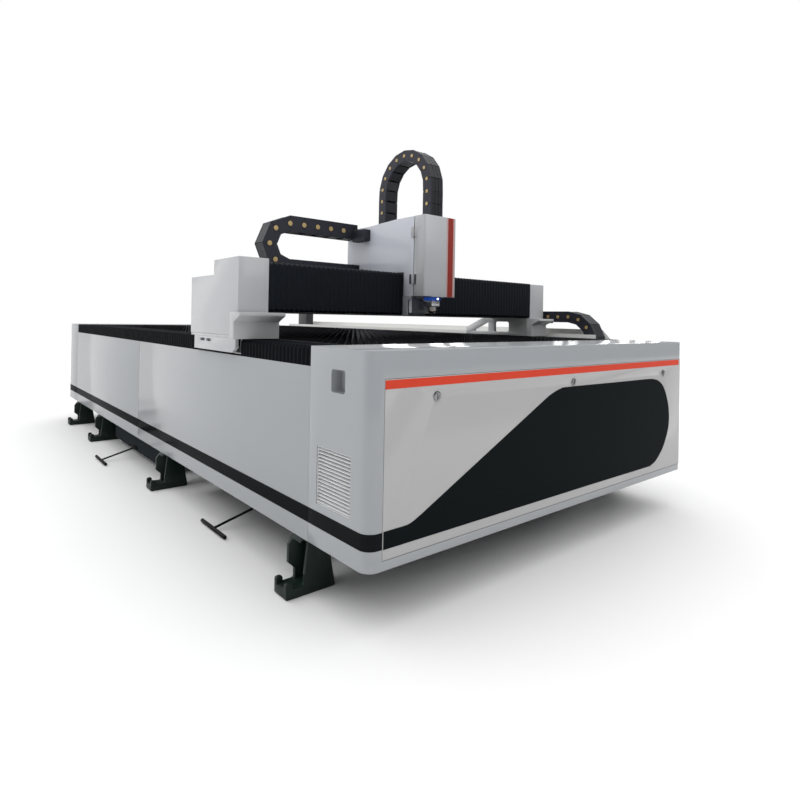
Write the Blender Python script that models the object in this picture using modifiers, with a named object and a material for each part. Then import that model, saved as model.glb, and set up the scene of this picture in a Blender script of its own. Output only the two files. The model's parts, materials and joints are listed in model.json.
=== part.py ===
"""Open flat-bed laser cutting machine: a long bed with sawtooth slats, a gantry that runs along it,
a carriage that runs across the gantry, and a cutting head that moves up and down.

Everything is modelled in bed coordinates: x from the left side face, y from the front face and
z from the lower edge of the bed.  The empty named machine moves them to the middle of the footprint,
with z = 0 on the floor.
"""
import math

import bmesh
import bpy
from mathutils import Matrix, Vector

# Fits
SEAT_GAP = 0.0003
RUNNING_GAP = 0.0006

# Bed
BED_WIDTH = 2.2
BED_LENGTH = 4.95
BED_FLOOR_HEIGHT = 0.205
HOOD_LENGTH = 0.365
HOOD_TOP = 0.715
HOOD_SHEET = 0.003
HOOD_FRONT_WALL = 0.008
HOOD_CORNER = 0.045
HOOD_EDGE = 0.004
PANEL_TOP = 0.640
PANEL_SHEET = 0.003
PANEL_SEAM = 0.004
MIDDLE_SEAM_Y = 2.565

# Front panel and its locks
FRONT_LEFT = 0.063
FRONT_RIGHT_INSET = 0.030
FRONT_BOTTOM = 0.034
FRONT_TOP = 0.621
FRONT_SHEET = 0.004
FRONT_GAP = 0.002
FRONT_REST = 0.020
LOCK_LEFT = 0.294
LOCK_MIDDLE_OFFSET = 0.026
LOCK_RIGHT_INSET = 0.231
LOCK_DROP = 0.070
LOCK_HEAD_RADIUS = 0.017
LOCK_PROUD = 0.0027
LOCK_BARREL_RADIUS = 0.012
LOCK_CAM_LENGTH = 0.060
LOCK_CAM_WIDTH = 0.014
LOCK_CAM_SHEET = 0.004
LOCK_SLOT = 0.003
LOCK_SLOT_DEPTH = 0.0015

# Hood side: louvre grille and recess pocket
LOUVRE_FRONT_Y = 0.098
LOUVRE_REAR_INSET = 0.055
LOUVRE_BOTTOM = 0.154
LOUVRE_TOP = 0.360
LOUVRE_FLANGE = 0.013
LOUVRE_DEPTH = 0.016
LOUVRE_RIM = 0.003
LOUVRE_BLADES = 16
LOUVRE_BLADE_SHEET = 0.0016
LOUVRE_BLADE_TILT = 25.0
POCKET_FRONT_Y = 0.138
POCKET_REAR_Y = 0.224
POCKET_BOTTOM = 0.561
POCKET_TOP = 0.641
POCKET_DEPTH = 0.042
POCKET_CORNER = 0.012

# Welded bed frame
BEAM_WIDTH = 0.150
BEAM_WEB = 0.012
BEAM_TOP_PLATE = 0.020
EDGE_STRIP = 0.004
EDGE_STRIP_TOP = 0.716
LEDGE_TOP = 0.581
LEDGE_SHEET = 0.006
LEDGE_REACH = 0.031
CROSS_WIDTH = 0.100
CROSS_HEIGHT = 0.100
END_PLATE = 0.012

# Feet
FOOT_YS = (0.43, 2.05, 3.66, 4.52)
FOOT_WIDTH = 0.090
FOOT_WALL = 0.016
FOOT_REACH = 0.072
FOOT_BASE_INNER = 0.138
FOOT_BASE_HEIGHT = 0.036
FOOT_LUG_HEIGHT = 0.060
FOOT_LUG_WIDTH = 0.026
FOOT_NECK = 0.005
FOOT_NECK_DROP = 0.130
FOOT_BELLY = 0.023
FOOT_BELLY_LOW = 0.105
FOOT_BELLY_HIGH = 0.036
FOOT_TOP_OUTER = 0.004
FOOT_TOP_SLOPE = 0.022
FOOT_TOP_INNER = 0.098
FOOT_WEB_X = 0.080
FOOT_ROUNDING = 0.008

# Slats
SLAT_FRONT_Y = 0.420
SLAT_REAR_Y = 4.530
SLAT_TIP = 0.717
SLAT_TOOTH = 0.034
SLAT_TOOTH_PITCH = 0.120
SLAT_SPACING = 0.30
SLAT_SHEET = 0.004
SLAT_HEIGHT = 0.120
SLAT_CARRIER = 0.010
SLAT_CARRIER_HEIGHT = 0.045
SLAT_SIDE_PLAY = 0.0005

# Bed rails and their bellows
RAIL_BASE_IN = 0.035
RAIL_BASE_OUT = 0.125
RAIL_BASE_HEIGHT = 0.008
RAIL_X = 0.075
RAIL_WIDTH = 0.030
RAIL_HEIGHT = 0.032
RACK_WIDTH = 0.020
RACK_HEIGHT = 0.028
BELLOWS_CHANNEL_IN = 0.028
BELLOWS_CHANNEL_OUT = 0.132
BELLOWS_CHANNEL_HEIGHT = 0.050
BELLOWS_FOLD = 0.008
BELLOWS_PITCH = 0.12

# Slag drawers and their pull handles
DRAWER_YS = (1.20, 2.90)
DRAWER_PULLED = (0.0, 0.125)
DRAWER_WIDTH = 1.200
DRAWER_FRONT_X = 0.210
DRAWER_REAR_INSET = 0.200
DRAWER_TOP = -0.035
DRAWER_DEPTH = 0.125
DRAWER_SHEET = 0.004
DRAWER_LIP = 0.020
RUNNER_SHEET = 0.005
RUNNER_PLAY = 0.002
RUNNER_END = 0.100
RUNNER_BITE = 0.006
PULL_PIN_Z = -0.135
PULL_PIN_RADIUS = 0.005
PULL_PIN_STANDOFF = 0.016
PULL_EAR_SHEET = 0.006
PULL_EYE_RADIUS = 0.011
PULL_EYE_WIDTH = 0.024
PULL_BAR_X = -0.020
PULL_BAR_Z = -0.193
PULL_BAR_RADIUS = 0.009
PULL_BAR_LENGTH = 0.280
PULL_ROD_RADIUS = 0.006

# Chain tray and riser on the right side
TRAY_WIDTH = 0.1997
TRAY_FLOOR = 0.452
TRAY_INNER_TOP = 0.738
TRAY_OUTER_TOP = 0.770
TRAY_SHEET = 0.003
TRAY_FRONT_Y = 0.550
TRAY_REAR_Y = 4.600
TRAY_SLOPE = 0.070
RISER_INSET = 0.0347
RISER_DEPTH = 0.090
RISER_FRONT_Y = 4.250
RISER_WIDTH = 0.190
RISER_TOP = 1.100
RISER_CORNER = 0.010
RISER_WALL = 0.005

# Energy chain beside the bed
LONG_CHAIN_INSET = 0.0617
LONG_CHAIN_WIDTH = 0.116
LONG_CHAIN_HEIGHT = 0.075
LONG_CHAIN_PITCH = 0.080
LONG_CHAIN_RADIUS = 0.1815
LONG_CHAIN_BEND_Y = 0.800
LONG_CHAIN_MOVING_Y = 1.100
LONG_CHAIN_FIXED_Y = 2.450

# Gantry
GANTRY_FRONT_Y = 0.972
GANTRY_REAR_Y = 1.560
GANTRY_OVERHANG = 0.019
BOX_INNER = 0.130
BOX_BOTTOM = 0.7303
BOX_TOP = 1.088
BOX_STEP_Y = 1.257
BOX_STEP_Z = 1.017
BOX_SHEET = 0.004
BOX_EDGE = 0.006
FOOT_BASE_SHEET = 0.0117
FOOT_PLATE = 0.0184
FOOT_PLATE_TOP = 0.836
FOOT_PLATE_REAR_Y = 1.550
FOOT_STRUT_Z = 0.766
FOOT_STRUT_Y = 1.390
WINDOW_FLOOR = 0.740
WINDOW_TOP = 0.812
WINDOW_LONG_REAR_Y = 1.485
WINDOW_LONG_FRONT_Y = 1.330
WINDOW_SMALL_FRONT_Y = 1.140
WINDOW_SMALL_REAR_Y = 1.270
WINDOW_ROUNDING = 0.015
GUIDE_LENGTH = 0.110
GUIDE_LEG = 0.0145
SKIRT_SHEET = 0.016
SKIRT_FRONT_Y = 0.990
SKIRT_REAR_Y = 1.500
SKIRT_BOTTOM = 0.652
SKIRT_NOSE_Z = 0.675
SKIRT_NOSE_Y = 1.030
SKIRT_SLOT_YS = (1.310, 1.390)
SKIRT_SLOT_Z = 0.700
SKIRT_SLOT_LENGTH = 0.060
SKIRT_SLOT_HEIGHT = 0.014
FOOT_COVER_OUT = 0.055
FOOT_COVER_IN = 0.165
FOOT_COVER_FRONT_Y = 0.930
FOOT_COVER_BREAK_Z = 0.794
FOOT_COVER_LIP_Y = 0.870
FOOT_COVER_LIP_Z = 0.821
FOOT_COVER_SHEET = 0.004
END_COVER_BOTTOM = 0.825
END_COVER_TOP = 1.071
END_COVER_REAR_Y = 1.400

# Cross beam, its rails and bellows
CROSS_BEAM_FRONT_Y = 1.050
CROSS_BEAM_REAR_Y = 1.300
CROSS_BEAM_TOP = 1.070
CROSS_BEAM_WALL = 0.012
CROSS_BEAM_CORNER = 0.014
BEAM_RAIL_ZS = (0.880, 1.032)
BEAM_RAIL_WIDTH = 0.025
BEAM_RAIL_REACH = 0.032
BEAM_RAIL_END = 0.170
BEAM_BELLOWS_BOTTOM = 0.842
BEAM_BELLOWS_TOP = 1.075
BEAM_BELLOWS_WALL = 0.017
BEAM_BELLOWS_SKIN = 0.020
BEAM_BELLOWS_FOLD = 0.010
BEAM_BELLOWS_PITCH = 0.050

# Energy chain behind the beam
SHORT_CHAIN_Y = 1.417
SHORT_CHAIN_WIDTH = 0.100
SHORT_CHAIN_HEIGHT = 0.090
SHORT_CHAIN_PITCH = 0.090
SHORT_CHAIN_BEND_X = 0.475
SHORT_CHAIN_RADIUS = 0.123
SHORT_CHAIN_LOW_Z = 1.100
SHORT_CHAIN_FIXED_X = 1.000
SHELF_SHEET = 0.005
SHELF_DROP = 0.070
SHELF_LIP = 0.018
SHELF_PLAY = 0.010
SHELF_LEFT = 0.100
SHELF_RIGHT = 1.320
ARM_SHEET = 0.008
ARM_LENGTH = 0.100
ARM_RISE = 0.090

# Carriage
COVER_LEFT = 0.938
COVER_RIGHT = 1.173
COVER_REAR_Y = 1.525
COVER_TOP = 1.381
COVER_REAR_TOP = 1.368
COVER_SLOPE_Y = 1.050
COVER_SLOPE_END_Y = 1.310
COVER_FRONT_BOTTOM = 0.943
COVER_BRIDGE_Y = 0.968
COVER_BRIDGE_Z = 1.078
COVER_CHAIN_Y = 1.395
COVER_CHAIN_Z = 1.152
COVER_SHEET = 0.003
COVER_EDGE = 0.006
DOOR_FRONT_Y = 0.798
DOOR_SEAM_Y = 0.882
DOOR_SEAM = 0.006
DOOR_CORNER = 0.012
HINGE_RADIUS = 0.006
HINGE_ZS = (1.036, 1.294)
HINGE_LENGTH = 0.056
HINGE_LEAF = 0.024
HINGE_LEAF_SHEET = 0.003
CARRIAGE_PLATE_FRONT_Y = 0.975
CARRIAGE_PLATE_SHEET = 0.018
CARRIAGE_PLATE_BOTTOM = 0.852
CARRIAGE_PLATE_TOP = 1.360
SADDLE_TOP = 1.100
SADDLE_SHEET = 0.015
SADDLE_REAR_Y = 1.330
CARRIAGE_BLOCK_HALF = 0.028
CARRIAGE_BLOCK_INSET = 0.025
CARRIAGE_BLOCK_REAR_Y = 1.042
GUARD_SHEET = 0.0065
GUARD_BOTTOM = 0.838
GUARD_FRONT_Y = 0.934
GUARD_SHOULDER_Y = 0.903
GUARD_REAR_Y = 0.990
GUARD_SHOULDER_Z = 0.930
BRACKET_FRONT_Y = 1.287
BRACKET_BOTTOM = 1.280
BRACKET_TOP = 1.351
BRACKET_REACH = 0.040
BRACKET_ROUNDING = 0.010

# Energy chain above the carriage
ARCH_X = 1.000
ARCH_WIDTH = 0.095
ARCH_HEIGHT = 0.066
ARCH_PITCH = 0.070
ARCH_Y = 1.060
ARCH_Z = 1.556
ARCH_RADIUS = 0.200
ARCH_FRONT_END = 1.225
ARCH_REAR_END = 1.250
ARCH_PLAY = 0.004
ARCH_POST = 0.040

# Cutting head
HEAD_X = 1.085
HEAD_Y = 0.892
HEAD_HALF_WIDTH = 0.045
HEAD_TOP = 1.180
HEAD_SLIDE_FRONT_Y = 0.944
HEAD_SLIDE_SHEET = 0.013
HEAD_SLIDE_HALF_WIDTH = 0.055
HEAD_SLIDE_BOTTOM = 1.000
HEAD_SLIDE_TOP = 1.224
HEAD_BLOCK_HALF_WIDTH = 0.032
HEAD_BLOCK_TOP = 1.200
HEAD_RAIL_WIDTH = 0.026
HEAD_RAIL_REACH = 0.012
HEAD_RAIL_BOTTOM = 0.872
HEAD_ARM_SHEET = 0.012
HEAD_ARM_FRONT_Y = 0.830
HEAD_EDGE = 0.004
RING_RADIUS = 0.046
RING_BOTTOM = 0.925
RING_TOP = 0.941
SENSOR_HALF = 0.031
SENSOR_BOTTOM = 0.889
SENSOR_EDGE = 0.005
NOZZLE_TIP = 0.844
NOZZLE_TIP_RADIUS = 0.006
NOZZLE_BORE = 0.002
NOZZLE_SHOULDER_Z = 0.866
NOZZLE_RADIUS = 0.024

CHAIN_STEP = 0.0025
EDGE_SHARE = 0.8
ROUND_SIDES = 24
SMALL_ROUND_SIDES = 12
LOCK_SIDES = 16
ARC_STEPS = 3
SHARP_ANGLE = math.radians(35.0)
OVERSHOOT = 0.02

FINISHES = {
    "panel_paint": ((0.66, 0.68, 0.70), 0.35, 0.0),
    "front_paint": ((0.72, 0.73, 0.74), 0.35, 0.0),
    "gantry_paint": ((0.74, 0.75, 0.76), 0.38, 0.0),
    "grey_sheet": ((0.42, 0.43, 0.45), 0.45, 0.2),
    "frame_paint": ((0.12, 0.13, 0.14), 0.55, 0.1),
    "foot_paint": ((0.02, 0.05, 0.04), 0.60, 0.1),
    "handle_black": ((0.02, 0.02, 0.02), 0.45, 0.2),
    "slat_steel": ((0.50, 0.49, 0.47), 0.45, 0.9),
    "rail_steel": ((0.60, 0.61, 0.62), 0.25, 1.0),
    "bellows_black": ((0.03, 0.03, 0.05), 0.65, 0.0),
    "chain_black": ((0.06, 0.06, 0.07), 0.50, 0.0),
    "machined": ((0.70, 0.71, 0.72), 0.30, 1.0),
    "lock_chrome": ((0.80, 0.80, 0.80), 0.15, 1.0),
    "ring_blue": ((0.05, 0.25, 0.75), 0.30, 0.0),
    "nozzle_copper": ((0.72, 0.42, 0.26), 0.30, 1.0),
}


def clear_scene():
    for obj in list(bpy.data.objects):
        bpy.data.objects.remove(obj, do_unlink=True)


clear_scene()
PARTS = bpy.data.collections.new("flat_bed_laser_cutter")
GUIDES = bpy.data.collections.new("cutters_and_joined_shapes")
bpy.context.scene.collection.children.link(PARTS)
bpy.context.scene.collection.children.link(GUIDES)
anchors = {}
state = {"anchor": None}


# Anchors: one empty for the machine and one on each joint
def add_anchor(name, location, parent=None):
    empty = bpy.data.objects.new(name, None)
    PARTS.objects.link(empty)
    if parent is None:
        empty.location = location
        anchors[name] = (empty, Vector((0.0, 0.0, 0.0)))
    else:
        empty.parent = anchors[parent][0]
        empty.location = Vector(location) - anchors[parent][1]
        anchors[name] = (empty, Vector(location))
    state["anchor"] = name


def hold(obj):
    """Hang an object on the current anchor while its own numbers stay bed coordinates."""
    empty, place = anchors[state["anchor"]]
    obj.parent = empty
    obj.matrix_parent_inverse = Matrix.Translation(-place)
    return obj


def paint(obj, finish):
    colour, roughness, metallic = FINISHES[finish]
    mat = bpy.data.materials.get(finish)
    if mat is None:
        mat = bpy.data.materials.new(finish)
        mat.use_nodes = True
        shader = mat.node_tree.nodes["Principled BSDF"]
        shader.inputs["Base Color"].default_value = (*colour, 1.0)
        shader.inputs["Roughness"].default_value = roughness
        shader.inputs["Metallic"].default_value = metallic
    obj.data.materials.clear()
    obj.data.materials.append(mat)
    return obj


def new_object(name, mesh, place=Matrix()):
    obj = bpy.data.objects.new(name, mesh)
    PARTS.objects.link(obj)
    obj.matrix_basis = place
    return hold(obj)


# Shapes
def block(name, x, y, z):
    """A box between two values on each axis, with its origin at its middle."""
    work = bmesh.new()
    bmesh.ops.create_cube(work, size=1.0)
    span = Vector((x[1] - x[0], y[1] - y[0], z[1] - z[0]))
    bmesh.ops.scale(work, vec=span, verts=work.verts)
    mesh = bpy.data.meshes.new(name)
    work.to_mesh(mesh)
    work.free()
    middle = Vector((x[0] + x[1], y[0] + y[1], z[0] + z[1])) / 2.0
    return new_object(name, mesh, Matrix.Translation(middle))


def drum(name, centre, radius, length, axis, sides=ROUND_SIDES, tip_radius=None):
    """A cylinder or cone about an axis through its middle."""
    work = bmesh.new()
    far_radius = radius if tip_radius is None else tip_radius
    bmesh.ops.create_cone(work, cap_ends=True, segments=sides, radius1=radius, radius2=far_radius,
                          depth=length)
    mesh = bpy.data.meshes.new(name)
    work.to_mesh(mesh)
    work.free()
    turn = {"X": Matrix.Rotation(math.pi / 2, 4, "Y"),
            "Y": Matrix.Rotation(math.pi / 2, 4, "X"),
            "Z": Matrix()}[axis]
    return new_object(name, mesh, Matrix.Translation(Vector(centre)) @ turn)


def plate(name, outline, axis, low, high, holes=()):
    """A flat outline between two values on an axis: (y, z) along X, (x, z) along Y, (x, y) along Z."""
    curve = bpy.data.curves.new(name, "CURVE")
    curve.dimensions = "2D"
    curve.fill_mode = "BOTH"
    curve.extrude = (high - low) / 2.0
    for ring in (outline, *holes):
        spline = curve.splines.new("POLY")
        spline.points.add(len(ring) - 1)
        for point, (a, b) in zip(spline.points, ring):
            point.co = (a, b, 0.0, 1.0)
        spline.use_cyclic_u = True
    middle = (low + high) / 2.0
    if axis == "X":
        place = Matrix(((0, 0, 1, middle), (1, 0, 0, 0), (0, 1, 0, 0), (0, 0, 0, 1)))
    elif axis == "Y":
        place = Matrix(((1, 0, 0, 0), (0, 0, -1, middle), (0, 1, 0, 0), (0, 0, 0, 1)))
    else:
        place = Matrix.Translation((0.0, 0.0, middle))
    source = bpy.data.objects.new(name + "_outline", curve)
    bpy.context.scene.collection.objects.link(source)
    source.matrix_world = place
    mesh = bpy.data.meshes.new_from_object(source.evaluated_get(bpy.context.evaluated_depsgraph_get()))
    bpy.data.objects.remove(source, do_unlink=True)
    work = bmesh.new()
    work.from_mesh(mesh)
    bmesh.ops.remove_doubles(work, verts=work.verts, dist=0.00001)
    bmesh.ops.recalc_face_normals(work, faces=work.faces)
    work.to_mesh(mesh)
    work.free()
    mesh.name = name
    return new_object(name, mesh, place)


def rounded(outline, radius, steps=ARC_STEPS, sharp=()):
    """The same outline with its corners turned into arcs, apart from those that stay sharp."""
    ring = []
    count = len(outline)
    for index in range(count):
        before = Vector(outline[index - 1])
        corner = Vector(outline[index])
        if index in sharp:
            ring.append(tuple(corner))
            continue
        after = Vector(outline[(index + 1) % count])
        to_before = before - corner
        to_after = after - corner
        half_angle = to_before.angle(to_after) / 2.0
        back = min(radius / math.tan(half_angle), to_before.length * 0.45, to_after.length * 0.45)
        start = corner + to_before.normalized() * back
        end = corner + to_after.normalized() * back
        for step in range(steps + 1):
            t = step / steps
            ring.append(tuple(start.lerp(corner, t).lerp(corner.lerp(end, t), t)))
    return ring


def rectangle(a, b):
    return [(a[0], b[0]), (a[1], b[0]), (a[1], b[1]), (a[0], b[1])]


def mirrored(outline):
    return [(BED_WIDTH - x, other) for x, other in reversed(outline)]


def across(span):
    """The same span of x on the other side of the bed."""
    return (BED_WIDTH - span[1], BED_WIDTH - span[0])


# Modifiers
def combine(target, other, operation):
    other.hide_render = True
    other.display_type = "WIRE"
    if other.name in PARTS.objects:
        PARTS.objects.unlink(other)
        GUIDES.objects.link(other)
    step = target.modifiers.new(other.name, "BOOLEAN")
    step.operation = operation
    step.solver = "EXACT"
    step.object = other
    return target


def cut(target, *others):
    for other in others:
        combine(target, other, "DIFFERENCE")
    return target


def join(target, *others):
    for other in others:
        combine(target, other, "UNION")
    return target


def soften(obj, width, segments=2):
    step = obj.modifiers.new("rounded_edges", "BEVEL")
    step.width = width
    step.segments = segments
    step.limit_method = "ANGLE"
    step.angle_limit = SHARP_ANGLE
    return obj


def smooth(obj):
    obj.data.shade_smooth()
    obj.data.set_sharp_from_angle(angle=SHARP_ANGLE)
    return obj


def copies(source, names, places, finish):
    """Bake a piece once and place one object with the same mesh at each given matrix."""
    bpy.context.view_layer.update()
    deps = bpy.context.evaluated_depsgraph_get()
    mesh = bpy.data.meshes.new_from_object(source.evaluated_get(deps))
    guides = [step.object for step in source.modifiers if step.type == "BOOLEAN"]
    bpy.data.objects.remove(source, do_unlink=True)
    for guide in guides:
        bpy.data.objects.remove(guide, do_unlink=True)
    return [paint(new_object(name, mesh, place), finish) for name, place in zip(names, places)]


# Bellows: one section that alternates between crest and valley along its length
def loft(name, rings):
    """One closed body through rings with the same number of corners, capped at both ends."""
    work = bmesh.new()
    loops = [[work.verts.new(corner) for corner in ring] for ring in rings]
    work.faces.new(loops[0])
    work.faces.new(loops[-1])
    for near, far in zip(loops, loops[1:]):
        for index in range(len(near)):
            after = (index + 1) % len(near)
            work.faces.new((near[index], near[after], far[after], far[index]))
    bmesh.ops.recalc_face_normals(work, faces=work.faces)
    mesh = bpy.data.meshes.new(name)
    work.to_mesh(mesh)
    work.free()
    return new_object(name, mesh)


def bellows(name, crest, valley, axis, low, high, pitch):
    """Folds between two sections: crests at both ends and at every full pitch, valleys between."""
    folds = max(2, round((high - low) / pitch))
    rings = []
    for index in range(2 * folds + 1):
        along = low + (high - low) * index / (2 * folds)
        section = valley if index % 2 else crest
        if axis == "Y":
            rings.append([(a, along, b) for a, b in section])
        else:
            rings.append([(along, a, b) for a, b in section])
    return paint(loft(name, rings), "bellows_black")


# Energy chains: straight run, half-turn, straight run, with a joint at every link
def chain_station(run_a, radius, along, offset):
    """Place in (a, b) at a distance along the chain's middle line, moved outwards by an offset:
    from a = run_a at b = +radius round the bend at a = -radius to the run at b = -radius."""
    if along <= run_a:
        return (run_a - along, radius + offset)
    angle = (along - run_a) / radius
    if angle <= math.pi:
        reach = radius + offset
        return (-math.sin(angle) * reach, math.cos(angle) * reach)
    return (along - run_a - math.pi * radius, -radius - offset)


def energy_chain(name, run_a, run_b, radius, height, pitch, span, place):
    """One body of straight links; every second link is an inner one, lower and narrower by a step."""
    length = run_a + math.pi * radius + run_b
    links = round(length / pitch)
    rings = []
    for link in range(links):
        step = CHAIN_STEP if link % 2 else 0.0
        half = height / 2.0 - step
        corners = rectangle((-half, half), (span[0] + step, span[1] - step))
        for joint in (link, link + 1):
            along = length * joint / links
            rings.append([place(*chain_station(run_a, radius, along, offset), side)
                          for offset, side in corners])
    return paint(loft(name, rings), "chain_black")


# Placing: the machine stands on its feet, in the middle of its footprint
FOOTPRINT_LEFT = PULL_BAR_X - max(DRAWER_PULLED) - PULL_BAR_RADIUS
TRAY_LEFT = BED_WIDTH + SEAT_GAP
FOOTPRINT_RIGHT = TRAY_LEFT + TRAY_WIDTH
FRONT_FACE = -LOCK_PROUD
add_anchor("machine", (-(FOOTPRINT_LEFT + FOOTPRINT_RIGHT) / 2.0, -(FRONT_FACE + BED_LENGTH) / 2.0,
                       BED_FLOOR_HEIGHT))

# Welded bed frame: two C-section beams, cross members at the feet, end plates and drawer runners
FRAME_FRONT = HOOD_LENGTH + SEAT_GAP
FRAME_REAR = BED_LENGTH - HOOD_LENGTH - SEAT_GAP
WEB_OUTER = PANEL_SHEET + SEAT_GAP


def beam_section():
    web = WEB_OUTER + BEAM_WEB
    strip = BEAM_WIDTH + EDGE_STRIP
    top_low = PANEL_TOP - BEAM_TOP_PLATE
    ledge = strip + LEDGE_REACH
    ledge_low = LEDGE_TOP - LEDGE_SHEET
    return [(WEB_OUTER, 0.0), (BEAM_WIDTH, 0.0), (BEAM_WIDTH, BEAM_WEB), (web, BEAM_WEB), (web, top_low),
            (BEAM_WIDTH, top_low), (BEAM_WIDTH, ledge_low), (ledge, ledge_low), (ledge, LEDGE_TOP),
            (strip, LEDGE_TOP), (strip, EDGE_STRIP_TOP), (BEAM_WIDTH, EDGE_STRIP_TOP),
            (BEAM_WIDTH, PANEL_TOP), (WEB_OUTER, PANEL_TOP)]


frame = plate("bed_frame", beam_section(), "Y", FRAME_FRONT, FRAME_REAR)
join(frame, plate("right_beam", mirrored(beam_section()), "Y", FRAME_FRONT, FRAME_REAR))
middle_x = (WEB_OUTER + BEAM_WEB / 2.0, BED_WIDTH - WEB_OUTER - BEAM_WEB / 2.0)
for number, foot_y in enumerate(FOOT_YS):
    near = max(foot_y - CROSS_WIDTH / 2.0, FRAME_FRONT)
    far = min(foot_y + CROSS_WIDTH / 2.0, FRAME_REAR)
    join(frame, block(f"cross_member_{number}", middle_x, (near, far), (0.0, CROSS_HEIGHT)))
for number, near in enumerate((FRAME_FRONT, FRAME_REAR - END_PLATE)):
    join(frame, block(f"end_plate_{number}", middle_x, (near, near + END_PLATE),
                      (0.0, LEDGE_TOP - LEDGE_SHEET)))
lip_low = DRAWER_TOP - DRAWER_SHEET
for number, middle in enumerate(DRAWER_YS):
    reach = DRAWER_WIDTH / 2.0 + DRAWER_LIP + RUNNER_PLAY
    for side in (-1.0, 1.0):
        inner = DRAWER_WIDTH / 2.0 + RUNNER_PLAY
        foot_high = lip_low - SEAT_GAP
        section = [(middle + side * inner, foot_high - RUNNER_SHEET),
                   (middle + side * (reach + RUNNER_SHEET), foot_high - RUNNER_SHEET),
                   (middle + side * (reach + RUNNER_SHEET), RUNNER_BITE),
                   (middle + side * reach, RUNNER_BITE),
                   (middle + side * reach, foot_high),
                   (middle + side * inner, foot_high)]
        if side < 0:
            section.reverse()
        join(frame, plate(f"runner_{number}_{side:+.0f}", section, "X", RUNNER_END,
                          BED_WIDTH - RUNNER_END))
paint(frame, "frame_paint")

# Sheet-metal side panels
for side in ("left", "right"):
    span = (0.0, PANEL_SHEET) if side == "left" else across((0.0, PANEL_SHEET))
    paint(block(f"side_panel_{side}_front", span, (FRAME_FRONT, MIDDLE_SEAM_Y - PANEL_SEAM / 2.0),
                (0.0, PANEL_TOP)), "panel_paint")
    paint(block(f"side_panel_{side}_rear", span, (MIDDLE_SEAM_Y + PANEL_SEAM / 2.0, FRAME_REAR),
                (0.0, PANEL_TOP)), "panel_paint")


# Hoods: rounded sheet-metal boxes over both ends, open at the bottom
def corner_arc(centre, radius, start):
    steps = 2 * ARC_STEPS
    return [(centre[0] + radius * math.cos(start + math.pi / 2 * k / steps),
             centre[1] + radius * math.sin(start + math.pi / 2 * k / steps)) for k in range(steps + 1)]


def hood_plan(inset_side, inset_front, inset_rear):
    radius = HOOD_CORNER - inset_side
    low = inset_front + radius
    ring = corner_arc((HOOD_CORNER, low), radius, math.pi)
    ring += corner_arc((BED_WIDTH - HOOD_CORNER, low), radius, 1.5 * math.pi)
    rear = HOOD_LENGTH - inset_rear
    return ring + [(BED_WIDTH - inset_side, rear), (inset_side, rear)]


def hood(name, front_wall):
    shell = plate(name, hood_plan(0.0, 0.0, 0.0), "Z", 0.0, HOOD_TOP)
    soften(shell, min(HOOD_EDGE, HOOD_SHEET * EDGE_SHARE))
    cut(shell, plate(name + "_hollow", hood_plan(HOOD_SHEET, front_wall, HOOD_SHEET), "Z",
                     -OVERSHOOT, HOOD_TOP - HOOD_SHEET))
    return shell


front_hood = hood("front_hood", HOOD_FRONT_WALL)
panel_x = (FRONT_LEFT, BED_WIDTH - FRONT_RIGHT_INSET)
panel_z = (FRONT_BOTTOM, FRONT_TOP)
rebate_x = (panel_x[0] - FRONT_GAP, panel_x[1] + FRONT_GAP)
rebate_z = (FRONT_BOTTOM - FRONT_GAP, FRONT_TOP + FRONT_GAP)
window_x = (panel_x[0] + FRONT_REST, panel_x[1] - FRONT_REST)
window_z = (FRONT_BOTTOM + FRONT_REST, FRONT_TOP - FRONT_REST)
cut(front_hood, block("panel_rebate", rebate_x, (-OVERSHOOT, FRONT_SHEET + SEAT_GAP), rebate_z),
    block("panel_window", window_x, (-OVERSHOOT, HOOD_FRONT_WALL + OVERSHOOT), window_z))

pocket_ring = rounded(rectangle((POCKET_FRONT_Y, POCKET_REAR_Y), (POCKET_BOTTOM, POCKET_TOP)),
                      POCKET_CORNER)
cup_ring = rectangle((POCKET_FRONT_Y - HOOD_SHEET, POCKET_REAR_Y + HOOD_SHEET),
                     (POCKET_BOTTOM - HOOD_SHEET, POCKET_TOP + HOOD_SHEET))
join(front_hood, plate("pocket_cup", cup_ring, "X", HOOD_SHEET / 2.0, POCKET_DEPTH + HOOD_SHEET))
cut(front_hood, plate("pocket_hollow", pocket_ring, "X", -OVERSHOOT, POCKET_DEPTH))
louvre_rear = HOOD_LENGTH - LOUVRE_REAR_INSET
louvre_y = (LOUVRE_FRONT_Y, louvre_rear)
louvre_z = (LOUVRE_BOTTOM, LOUVRE_TOP)
cut(front_hood, block("louvre_window", (-OVERSHOOT, OVERSHOOT), louvre_y, louvre_z))
paint(front_hood, "panel_paint")

rear_hood = hood("rear_hood", HOOD_SHEET)
rear_hood.matrix_basis = (Matrix.Translation((BED_WIDTH, BED_LENGTH, 0.0))
                          @ Matrix.Rotation(math.pi, 4, "Z") @ rear_hood.matrix_basis)
rear_hollow = bpy.data.objects["rear_hood_hollow"]
rear_hollow.matrix_basis = (Matrix.Translation((BED_WIDTH, BED_LENGTH, 0.0))
                            @ Matrix.Rotation(math.pi, 4, "Z") @ rear_hollow.matrix_basis)
paint(rear_hood, "panel_paint")

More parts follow.
